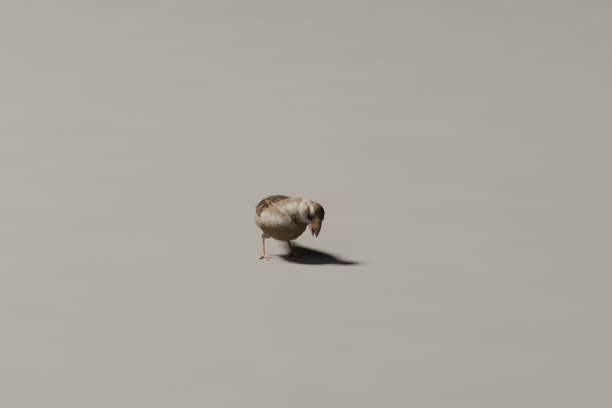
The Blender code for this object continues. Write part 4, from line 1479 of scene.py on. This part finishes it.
def make_tail():
    """Twelve feathers in a closed fan, the middle pair on top."""
    middle = (TAIL_COUNT - 1) / 2
    rank = np.abs(np.arange(TAIL_COUNT) - middle)
    sign = np.sign(np.arange(TAIL_COUNT) - middle)
    order = np.argsort(-rank)
    rank, sign = rank[order], sign[order]
    share = np.linspace(0, REACH, 9)
    spread = rank / middle
    x = (sign * spread)[:, None] * (0.8 + 5.0 * np.minimum(share, 1.0) ** 1.2)
    length = TAIL_LENGTH - TAIL_NOTCH * (1 - spread) - 1.4 * np.maximum(0, spread - 0.72) / 0.28
    y = (length * 0.93)[:, None] * share + 2.0
    arch = 1.3 * (0.5 - (x / 7.9) ** 2)
    z = arch + 0.35 - 0.13 * rank[:, None] * (0.4 + 0.6 * share) + 0.02 * sign[:, None]
    places = np.stack([x, y, z], axis=-1) @ TAIL_AXES + TAIL_ROOT
    normal = np.stack([x * 2.6 / 62.0, np.zeros_like(x), np.ones_like(x)], axis=-1)
    upward = unit(normal @ TAIL_AXES)
    shafts = squared(share, places, upward)
    widths = TAIL_WIDE - 0.5 * spread
    lean = sign * (0.12 + 0.4 * spread)
    return firm_piece("tail_feathers", "tail_brown", FLIGHT, (shafts, length), widths, 0.012, lean,
                      ("tail", "tail_edge", 0.5, "tail_edge", 0.45))


tail = make_tail()
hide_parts("tail")

# %% [markdown]
# ## Eyes
#
# The ball is 6.6 mm across, but lids leave an opening of a little over 4 mm, as in life.  A
# sparrow's iris is so dark a brown that the eye looks black with one bright catch light; the wet
# cornea bulges slightly over it.


# %% Making the eyes
def wet(name, rough, coat):
    """A material with a wet film over it, and its node tree and shader."""
    material, tree, shader = principled(name, rough)
    shader.inputs["Coat Weight"].default_value = coat
    shader.inputs["Coat Roughness"].default_value = 0.03
    return material, tree, shader


def eye_material():
    material, tree, shader = wet("wet eye", 0.25, 0.45)  # dark iris behind a clear wet cornea
    shader.inputs["Specular IOR Level"].default_value = 0.1
    disc = add(tree, "ShaderNodeUVMap", {"uv_map": "iris"})
    middle = add(tree, "ShaderNodeVectorMath", MINUS, i0=disc.outputs["UV"],
                 i1=(0.5, 0.5, 0.0))
    far = add(tree, "ShaderNodeVectorMath", {"operation": "LENGTH"}, i0=middle)
    spin = add(tree, "ShaderNodeVectorMath", {"operation": "NORMALIZE"}, i0=middle)
    rings = add(tree, "ShaderNodeValToRGB", Fac=far.outputs["Value"])
    ramp = rings.color_ramp
    stops = ((0.0, "030303"), (0.185, "030303"), (0.2, "24140b"), (0.3, "3a2313"), (0.36, "1d110a"),
             (0.40, "0a0705"))
    while len(ramp.elements) < len(stops):
        ramp.elements.new(0.5)
    for element, (where, code) in zip(ramp.elements, stops):
        element.position, element.color = where, rgba(code)
    light = mottled(tree, spin, 14.0, 5.0, 0.6, 1.5)
    colour = add(tree, "ShaderNodeVectorMath", {"operation": "SCALE"}, i0=rings.outputs["Color"],
                 i3=light)
    tree.links.new(colour.outputs[0], shader.inputs["Base Color"])
    return material


# %% Rings, shells and both eyes
EYE = eye_material()


def ring_faces(rings, around):
    """Four-sided faces between rings of points that are numbered ring after ring."""
    rows, cols = np.meshgrid(np.arange(rings - 1) * around, np.arange(around), indexing="ij")
    after = (cols + 1) % around
    return np.stack([rows + cols, rows + after, rows + around + after, rows + around + cols],
                    axis=-1).reshape(-1, 4)


def shell(name, points, faces, material, tint=None):
    """A smooth object from points in the bird's millimetres, and a tint where one is given."""
    mesh = bpy.data.meshes.new(name)
    mesh.from_pydata(placed(points).tolist(), [], faces)
    mesh.polygons.foreach_set("use_smooth", np.ones(len(mesh.polygons), bool))
    if tint is not None:
        set_tint(mesh, tint)
    mesh.materials.append(material)
    mesh.update()
    return new_object(name, mesh)


def make_eye(side, rings=40, around=64):
    """A ball with a slightly bulging cornea, and a flat map for its iris."""
    polar = np.linspace(0, math.radians(96), rings)
    turn = np.linspace(0, 2 * math.pi, around, endpoint=False)
    radius = EYE_RADIUS + 0.12 * smooth(math.radians(42), math.radians(10), polar)
    p, a = np.meshgrid(polar[1:], turn, indexing="ij")
    r = radius[1:, None]
    ring = np.stack([r * np.sin(p) * np.cos(a), r * np.sin(p) * np.sin(a),
                     side * r * np.cos(p)], axis=-1).reshape(-1, 3)
    spots = np.vstack([[[0, 0, side * radius[0]]], ring]) + [0, 0, side * EYE_SIDE]
    disc = np.stack([0.5 + p / polar[-1] * 0.5 * np.cos(a), 0.5 + p / polar[-1] * 0.5 * np.sin(a)], -1)
    flat = np.vstack([[[0.5, 0.5]], disc.reshape(-1, 2)])
    k = np.arange(around)
    quads = ring_faces(rings - 1, around) + 1
    cap = np.stack([np.zeros(around, int), 1 + (k + 1) % around, 1 + k], axis=-1)
    if side > 0:
        quads = quads[:, ::-1]
        cap = cap[:, ::-1]
    word = "right" if side > 0 else "left"
    piece = shell(f"eyeball_{word}", from_head(spots), quads.tolist() + cap[:, ::-1].tolist(), EYE)
    corner = np.empty(len(piece.data.loops), int)
    piece.data.loops.foreach_get("vertex_index", corner)
    piece.data.uv_layers.new(name="iris").data.foreach_set("uv", flat[corner].ravel())
    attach(piece, "root")
    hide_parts(f"eye_{word}")
    return piece


def outward(piece, middle):
    """True if the piece's faces look away from the middle, on the whole."""
    mesh = piece.data
    sense = sum(face.area * face.normal.dot(face.center - Vector(middle)) for face in mesh.polygons)
    return sense > 0


for side in (-1, 1):
    ball = make_eye(side)
    print(ball.name, "faces outwards:", outward(ball, placed(from_head([0, 0, side * EYE_SIDE]))))

# %% [markdown]
# ## The bill
#
# Each half is a horn sheath, thick at the base and hollow inside like a scoop: a domed outside with
# a keel along the top, cutting edges that curl slightly in, a small hook on the upper half and a
# nostril pit by the feathers.  At the corners soft yellowish flanges join the halves.

# %% The bill's measures
BILL_BASE, BILL_LEVEL, BILL_OPENING = 3.6, -3.4, 17.0
# Length, width, height, droop of the tip, and share of the opening
HALVES = {"upper": (14.7, 8.4, 8.7, -1.2, 0.15), "lower": (13.9, 7.4, 4.4, 0.35, -0.85)}
HORN = {name: paint(code) for name, code in {
    # The keel's near-black tone is partly dark horn and partly painted shade along the top of the bill.
    "culmen_and_shade": "14100e", "side": "75584c", "base": "b58c76", "tip": "3c302a", "lower": "e2b67c",
    "lower_tip": "946b4b", "lower_base": "e8cba4", "inside": "7a4334", "flange": "dfbb90"}.items()}


def turned_half(spots, half):
    """Swings a bill half open about its hinge, in head measures."""
    angle = math.radians(BILL_OPENING * HALVES[half][4])
    f, c = spots[..., 0] - BILL_BASE, spots[..., 1] - BILL_LEVEL
    return np.stack([f * math.cos(angle) - c * math.sin(angle) + BILL_BASE,
                     f * math.sin(angle) + c * math.cos(angle) + BILL_LEVEL, spots[..., 2]], axis=-1)


def half_outline(half, t):
    """Half width, dome height and droop along a bill half, t from 0 at the hinge to 1."""
    _, width, height, hook, _ = HALVES[half]
    droop = hook * t**3 if half == "upper" else hook * t**2
    return width / 2 * (1 - t**1.55), height * (1 - t**1.8), droop


# %% Shaping a half
def make_half(half, along=64, outer=41, inner=25):
    """One half of the bill, as rings round its outside and back along its inside."""
    length = HALVES[half][0]
    up = 1 if half == "upper" else -1
    t = np.sin(np.linspace(0, 0.5 * math.pi, along)) ** 0.9 * 0.9985
    full, dome, droop = half_outline(half, t)
    full, dome = np.maximum(full, 0.10)[:, None], np.maximum(dome, 0.12)[:, None]
    a = np.linspace(0, math.pi, outer)[None]
    side, rise = full * np.cos(a), dome * np.sin(a) ** 0.85
    rise = rise + 0.16 * np.exp(-((side / 0.55) ** 2)) * np.minimum(dome, 1.0)
    edge = np.exp(-((np.minimum(a, math.pi - a)) / 0.16) ** 2)
    rise = rise - 0.22 * edge * np.minimum(dome, 1.0)
    side = side * (1 - 0.05 * edge)
    if half == "upper":
        pit = np.exp(-(((t[:, None] * length - 5.5) / 0.62) ** 2 + ((rise / dome - 0.62) / 0.10) ** 2))
        side = side - np.sign(np.cos(a)) * 0.5 * pit * (np.abs(side) > 0.5)
        groove = np.exp(-(((rise / dome - 0.5) / 0.07) ** 2)) * smooth(0.30, 0.36, t)[:, None]
        side = side - np.sign(np.cos(a)) * 0.07 * groove * smooth(0.75, 0.5, t)[:, None]
    b = np.linspace(math.pi, 0, inner + 2)[None, 1:-1]
    in_side = full * 0.82 * np.cos(b)
    in_rise = dome * 0.52 * np.sin(b) ** 0.9 * smooth(1.0, 0.86, t)[:, None]
    cross = np.concatenate([side, in_side], axis=1)
    lift = np.concatenate([rise, in_rise], axis=1)
    forward = BILL_BASE + length * t[:, None] + 0 * cross
    spots = np.stack([forward, BILL_LEVEL + droop[:, None] + up * lift, cross], axis=-1)
    spots = turned_half(spots, half)
    around = outer + inner
    tint = bill_tint(half, t[:, None] + 0 * cross, lift / dome, np.arange(around)[None] >= outer)
    quads = ring_faces(along, around)[:, [0, 3, 2, 1]]
    ends = [list(range(around)), list(range((along - 1) * around, along * around))[::-1]]
    if up < 0:
        quads, ends = quads[:, ::-1], [end[::-1] for end in ends]
    piece = shell(f"{half}_mandible", from_head(spots.reshape(-1, 3)), quads.tolist() + ends,
                  HORN_SHEATH, tint.reshape(-1, 3))
    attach(piece, "root")
    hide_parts(f"bill_{half}")
    return piece


# %% The horn
def bill_tint(half, t, share, inside):
    """Horn colours: a dark keel, partly painted shade, and a dark tip above, cream below, dull red
    within.
    """
    edge = smooth(0.14, 0.0, share) * ~inside
    if half == "upper":
        ground, layers = "base", (("side", smooth(0.28, 0.5, t)),
                                  # The dark keel along the top is partly horn colour and partly painted
                                  # shade.
                                  ("culmen_and_shade", smooth(0.58, 0.95, share) * 0.92),
                                  ("tip", smooth(0.62, 0.97, t) * 0.85))
    else:
        ground, layers = "lower_base", (("lower", smooth(0.3, 0.5, t)),
                                        ("lower_tip", smooth(0.55, 0.98, t) * 0.8),
                                        ("base", smooth(0.55, 0.95, share) * 0.4))
    tint = painted(HORN, HORN[ground], layers)
    return painted(HORN, tint, (("lower_tip", edge * 0.45),
                                ("inside", inside * smooth(1.0, 0.8, t))))


def horn_material():
    """Horn: the painted tint, long fibres, growth lines, fine scratches, half a gloss."""
    material, tree, shader = wet("keratin horn", 0.38, 0.12)
    tint = add(tree, "ShaderNodeAttribute", {"attribute_name": "tint"})
    place = add(tree, "ShaderNodeTexCoord")
    spin = Matrix(HEAD_AXES.tolist()).to_euler()
    turn = add(tree, "ShaderNodeMapping", Vector=place.outputs["Object"], Rotation=tuple(spin))
    fibres = add(tree, "ShaderNodeMapping", Vector=turn, Scale=(160.0, 1500.0, 1500.0))
    rings = add(tree, "ShaderNodeMapping", Vector=turn, Scale=(1300.0, 130.0, 130.0))
    grain = mottled(tree, fibres, 1.0, 4.0, 0.82, 1.12)
    growth = mottled(tree, rings, 1.0, 2.0, 0.9, 1.06)
    shade = add(tree, "ShaderNodeMath", TIMES, i0=grain, i1=growth)
    surfaced(tree, shader, tint.outputs["Color"], shade, shade, 0.35, 0.00004)
    return material


# %% Making both halves
HORN_SHEATH = horn_material()
for half in HALVES:
    piece = make_half(half)
    rise = 2.0 if half == "upper" else -1.2
    middle = turned_half(np.array([BILL_BASE + 5.0, BILL_LEVEL + rise, 0.0]), half)
    print(piece.name, "faces outwards:", outward(piece, placed(from_head(middle))))


# %% [markdown]
# ### The corners of the gape
#
# Soft pale skin joins the bill's halves at the corner of the mouth and swells out a little past
# them.  It is a tube with a radius at each place, and the claws are made by the same function.

# %% The gape's flanges
def tube(name, lines, material, tint_of, around=14, flat=1.0):
    """Round closed tubes along lines of (points, radii): one piece with a tint."""
    points, faces, tints = [], [], []
    for line, radii in lines:
        spots = rings_round(line, radii, around, flat)
        base, count = sum(len(p) for p in points), len(line)
        quads = ring_faces(count, around) + base
        faces += quads.tolist()
        faces += [list(range(base, base + around))[::-1],
                  list(range(base + (count - 1) * around, base + count * around))]
        points.append(spots.reshape(-1, 3))
        tints.append(np.repeat(tint_of(np.linspace(0, 1, count)), around, axis=0))
    return shell(name, np.vstack(points), faces, material, np.vstack(tints))


def flange_line(side, reach=4.8, count=25):
    """From the upper cutting edge back round the corner of the gape to the lower one."""
    spots = []
    for share in np.linspace(-1, 1, count):
        half = "upper" if share > 0 else "lower"
        forward = 1.5 + reach * abs(share) ** 0.8
        t = forward / HALVES[half][0]
        full, _, droop = half_outline(half, t)
        bulge = math.exp(-((share / 0.4) ** 2))
        spot = np.array([BILL_BASE + forward - 1.1 * bulge, BILL_LEVEL + droop,
                         side * (full * 0.93 + 1.35 * bulge)])
        spots.append(turned_half(spot, half))
    line = np.array(spots)
    for _ in range(3):
        line[1:-1] = (line[:-2] + 2 * line[1:-1] + line[2:]) / 4
    return from_head(line), 0.10 + 0.44 * np.sin(np.linspace(0, math.pi, count)) ** 2


flanges = tube("gape_flanges", [flange_line(side) for side in (-1, 1)], HORN_SHEATH,
               lambda t: HORN["flange"][None] * (0.8 + 0.25 * np.sin(t * math.pi))[:, None])
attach(flanges, "root")
print(flanges.name, len(flanges.data.polygons), "faces")

# %% [markdown]
# ## Claws
#
# Each claw is a curved sheath of dark horn, deeper than wide, that grows out of the toe's tip.


# %% Making the claws
def claw_line(side, toe, count=22):
    """A claw's curved middle line and its radii."""
    _, length, claw = TOES[toe]
    t = np.linspace(0, 1, count)
    reach = length + 0.3 + claw * np.sin(np.radians(78) * t) * 0.92 - 0.7 * (1 - t) ** 3
    rise = TOE_UP + 0.18 + 0.34 * np.sin(math.pi * t) - 0.72 * t**2
    line = FEET[side] * [1, 1, 0] + toe_way(side, toe) * reach[:, None]
    line[:, 2] = rise
    return line, 0.52 * (1 - t) ** 0.8 + 0.07


def claw_tint(t):
    return mix(paint("6f5548"), paint("2b211c"), smooth(0.05, 0.6, t))


for side, word in SIDES.items():
    for toe in TOES:
        claw = tube(f"{toe}_claw_{word}", [claw_line(side, toe)], HORN_SHEATH, claw_tint, flat=0.72)
        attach(claw, "root")
        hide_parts(f"claw_{word}_{toe}")
print("claws made")

# %% [markdown]
# ## Scutes on the legs and toes
#
# The front of a songbird's shank and the top of each toe are covered by a single row of horny
# plates, one after another.  One node tree strings such plates along guide lines: each plate is a
# bent, domed tile that wraps round the front, sized by the guide's girth.


# %% The scutes' keratin
def scute_material():
    material, tree, shader = wet("leg scute keratin", 0.42, 0.08)  # dull horn, darker in the joints
    dome = add(tree, "ShaderNodeAttribute", {"attribute_name": "dome"})
    place = add(tree, "ShaderNodeTexCoord")
    fine = add(tree, "ShaderNodeTexNoise", Vector=place.outputs["Object"], Scale=1500.0, Detail=3.0)
    broad = add(tree, "ShaderNodeTexNoise", Vector=place.outputs["Object"], Scale=230.0, Detail=2.0)
    joint = add(tree, "ShaderNodeMapRange", Value=dome.outputs["Fac"], i1=0.1, i2=0.75, i3=0.5, i4=1.0)
    specks = add(tree, "ShaderNodeMapRange", Value=fine, i1=0.3, i2=0.7, i3=0.85, i4=1.1)
    tone = add(tree, "ShaderNodeMix", {"data_type": "RGBA"}, Factor=broad, i6=rgba("a27b6b"),
               i7=rgba("7d5748"))
    shade = add(tree, "ShaderNodeMath", TIMES, i0=joint, i1=specks)
    surfaced(tree, shader, tone.outputs[2], shade, fine, 0.3, 0.00004)
    return material


# %% The node tree of plates
def scute_tree():
    """Strings bent plates along guide curves."""
    tree = bpy.data.node_groups.new("scute rows", "GeometryNodeTree")
    face = tree.interface
    face.new_socket("Guides", in_out="INPUT", socket_type="NodeSocketGeometry")
    sockets = {}
    for name, kind, value in (("Spacing", "NodeSocketFloat", 0.0013), ("Wrap", "NodeSocketFloat", 3.4),
                              ("Finish", "NodeSocketMaterial", None)):
        made = face.new_socket(name, in_out="INPUT", socket_type=kind)
        if value is not None:
            made.default_value = value
        sockets[name] = made.identifier
    face.new_socket("Scutes", in_out="OUTPUT", socket_type="NodeSocketGeometry")
    given = add(tree, "NodeGroupInput")
    curve = add(tree, "GeometryNodeMeshToCurve", Mesh=given.outputs["Guides"])
    even_out = add(tree, "GeometryNodeResampleCurve", {"mode": "LENGTH"}, Curve=curve,
                   Length=given.outputs["Spacing"])
    grid = add(tree, "GeometryNodeMeshGrid", Size_X=1.0, Size_Y=1.0, Vertices_X=17, Vertices_Y=8)
    place = add(tree, "GeometryNodeInputPosition")
    split = add(tree, "ShaderNodeSeparateXYZ", Vector=place)

    tops = []
    for axis in "XY":  # highest along the middle, and falling fast at both edges
        off = add(tree, "ShaderNodeMath", {"operation": "ABSOLUTE"}, i0=split.outputs[axis])
        off = add(tree, "ShaderNodeMath", TIMES, i0=off, i1=2.0)
        fall = add(tree, "ShaderNodeMath", {"operation": "POWER"}, i0=off, i1=4.0)
        tops.append(add(tree, "ShaderNodeMath", MINUS, i0=1.0, i1=fall))
    dome = add(tree, "ShaderNodeMath", TIMES, i0=tops[0], i1=tops[1])
    thick = add(tree, "ShaderNodeMath", TIMES, i0=dome, i1=0.16)
    thick = add(tree, "ShaderNodeMath", PLUS, i0=thick, i1=0.90)
    lean = add(tree, "ShaderNodeMath", TIMES, i0=split.outputs["Y"], i1=0.05)
    radius = add(tree, "ShaderNodeMath", MINUS, i0=thick, i1=lean)
    angle = add(tree, "ShaderNodeMath", TIMES, i0=split.outputs["X"], i1=given.outputs["Wrap"])
    ring = []
    for wave in ("SINE", "COSINE"):
        share = add(tree, "ShaderNodeMath", {"operation": wave}, i0=angle)
        ring.append(add(tree, "ShaderNodeMath", TIMES, i0=share, i1=radius))
    bent = add(tree, "ShaderNodeCombineXYZ", X=ring[0], Y=ring[1], Z=split.outputs["Y"])
    shaped = add(tree, "GeometryNodeSetPosition", Geometry=grid.outputs["Mesh"], Position=bent)
    marked = add(tree, "GeometryNodeStoreNamedAttribute", {"data_type": "FLOAT", "domain": "POINT"},
                 Geometry=shaped, Name="dome", Value=dome)
    tangent = add(tree, "GeometryNodeInputTangent")
    front = add(tree, "GeometryNodeInputNamedAttribute", {"data_type": "FLOAT_VECTOR"}, Name="front")
    girth = add(tree, "GeometryNodeInputNamedAttribute", {"data_type": "FLOAT"}, Name="girth")
    stood = add(tree, "FunctionNodeAlignRotationToVector", {"axis": "Z"}, Vector=tangent)
    faced = add(tree, "FunctionNodeAlignRotationToVector", {"axis": "Y", "pivot_axis": "Z"},
                Rotation=stood, Vector=front)
    tall = add(tree, "ShaderNodeMath", TIMES, i0=given.outputs["Spacing"], i1=1.06)
    size = add(tree, "ShaderNodeCombineXYZ", X=girth, Y=girth, Z=tall)
    strung = add(tree, "GeometryNodeInstanceOnPoints", Points=even_out, Instance=marked,
                 Rotation=faced, Scale=size)
    real = add(tree, "GeometryNodeRealizeInstances", Geometry=strung)
    soft = add(tree, "GeometryNodeSetShadeSmooth", Geometry=real)
    painted = add(tree, "GeometryNodeSetMaterial", Geometry=soft, Material=given.outputs["Finish"])
    result = add(tree, "NodeGroupOutput")
    tree.links.new(painted.outputs[0], result.inputs[0])
    return tree, sockets


# %% Stringing the scutes
def guides(name, lines):
    """A mesh of guide lines with the girth and the facing of the plates at each point."""
    points, edges, girths, fronts = [], [], [], []
    for line, radii, way in lines:
        base = len(points)
        points += placed(line).tolist()
        edges += [(base + k, base + k + 1) for k in range(len(line) - 1)]
        girths += (np.asarray(radii) * MM).tolist()
        fronts += [way] * len(line)
    mesh = bpy.data.meshes.new(name)
    mesh.from_pydata(points, edges, [])
    mesh.attributes.new("girth", "FLOAT", "POINT").data.foreach_set("value", girths)
    mesh.attributes.new("front", "FLOAT_VECTOR", "POINT").data.foreach_set(
        "vector", np.array(fronts, dtype=float).ravel())
    return new_object(name, mesh)


SCUTES, SOCKETS = scute_tree()
SCUTE_KERATIN = scute_material()


def string_scutes(name, lines, spacing, wrap):
    """Rows of plates at a spacing, each wrapped by some degrees."""
    obj = guides(name, lines)
    rows = obj.modifiers.new("scutes", "NODES")
    rows.node_group = SCUTES
    rows[SOCKETS["Spacing"]], rows[SOCKETS["Wrap"]] = spacing * MM, math.radians(wrap)
    rows[SOCKETS["Finish"]] = SCUTE_KERATIN
    obj = evaluated(obj)
    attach(obj, "root")
    print(name, len(obj.data.polygons) * 2, "triangles")


for side, word in SIDES.items():
    line, radii = shank_line(side)
    steps = np.linspace(0.1, 0.93, 40)
    at = np.linspace(0, 1, len(line))
    shin = np.stack([np.interp(steps, at, line[:, k]) for k in range(3)], axis=1)
    string_scutes(f"shank_scutes_{word}", [(shin, np.interp(steps, at, radii), (0.0, -1.0, 0.15))],
                  1.55, 205)
    rows = []
    for toe in TOES:
        line, radii = toe_line(side, toe)
        rows.append((line[3:], radii[3:], (0.0, 0.0, 1.0)))
    string_scutes(f"toe_scutes_{word}", rows, 0.92, 200)

# %% [markdown]
# ## Camera, floor and light
#
# The camera stands three metres away with a long lens, a little above the bird.  The floor is plain
# and pale.  One broad soft light stands high on the left and slightly behind, with a weak fill.

# %% Camera, card and lamps
AROUND, ABOVE, FAR = math.radians(-20.0), math.radians(12.0), 2.992
AIM_RIGHT, AIM_UP = 37.2, 46.4  # where the middle of the view lies, from the right foot
BACKWARD = np.array([math.sin(AROUND) * math.cos(ABOVE), -math.cos(AROUND) * math.cos(ABOVE),
                     math.sin(ABOVE)])
RIGHTWARD = np.array([math.cos(AROUND), math.sin(AROUND), 0.0])
UPWARD = np.cross(BACKWARD, RIGHTWARD)
AIM = placed(FEET[-1] * [1, 1, 0]) + (RIGHTWARD * AIM_RIGHT + UPWARD * AIM_UP) * MM


def look(obj, place, at):
    """Puts a camera or a lamp at a place and aims it."""
    obj.location = Vector(place)
    obj.rotation_euler = (Vector(at) - Vector(place)).to_track_quat("-Z", "Y").to_euler()


camera = new_object("camera", bpy.data.cameras.new("camera"))
camera.data.lens, camera.data.sensor_width, camera.data.clip_end = 200.0, 36.0, 60.0
look(camera, AIM + BACKWARD * FAR, AIM)
bpy.context.scene.camera = camera


def floor_material():
    """Matt pale card with the faintest cloudiness."""
    material, tree, shader = principled("pale matt card", 0.9, 0.15)
    place = add(tree, "ShaderNodeTexCoord")
    cloud = add(tree, "ShaderNodeTexNoise", Vector=place.outputs["Object"], Scale=9.0, Detail=3.0)
    tone = add(tree, "ShaderNodeMix", {"data_type": "RGBA"}, Factor=cloud.outputs["Fac"],
               i6=rgba("6b6965"), i7=rgba("73716c"))
    tree.links.new(tone.outputs[2], shader.inputs["Base Color"])
    return material


card = bpy.data.meshes.new("floor")
card.from_pydata([(-9, -9, 0), (9, -9, 0), (9, 9, 0), (-9, 9, 0)], [], [(0, 1, 2, 3)])
card.materials.append(floor_material())
floor = new_object("floor", card)


def soft_light(name, place, size, power, tone):
    """A round soft lamp aimed at the bird, placed from it."""
    data = bpy.data.lights.new(name, "AREA")
    data.shape, data.size, data.energy, data.color = "DISK", size, power, paint(tone)
    look(new_object(name, data), AIM + place, AIM)


KEY_FAR, FILL_FAR = 5.0, 4.0
key_way = RIGHTWARD * -0.56 + upright * 0.82 - BACKWARD * 0.10
fill_way = RIGHTWARD * -0.7 + upright * 0.5 + BACKWARD * 0.6
soft_light("key", key_way * KEY_FAR, 1.3, 1000.0, "fff6ea")
soft_light("fill", fill_way * FILL_FAR, 2.2, 45.0, "eef3ff")

world = bpy.data.worlds.new("studio")
bpy.context.scene.world = world
world.use_nodes = True
world.node_tree.nodes["Background"].inputs["Color"].default_value = rgba("d9dde2")
world.node_tree.nodes["Background"].inputs["Strength"].default_value = 0.07
print("the camera stands", FAR, "m away, and the key light", round(KEY_FAR, 1), "m")
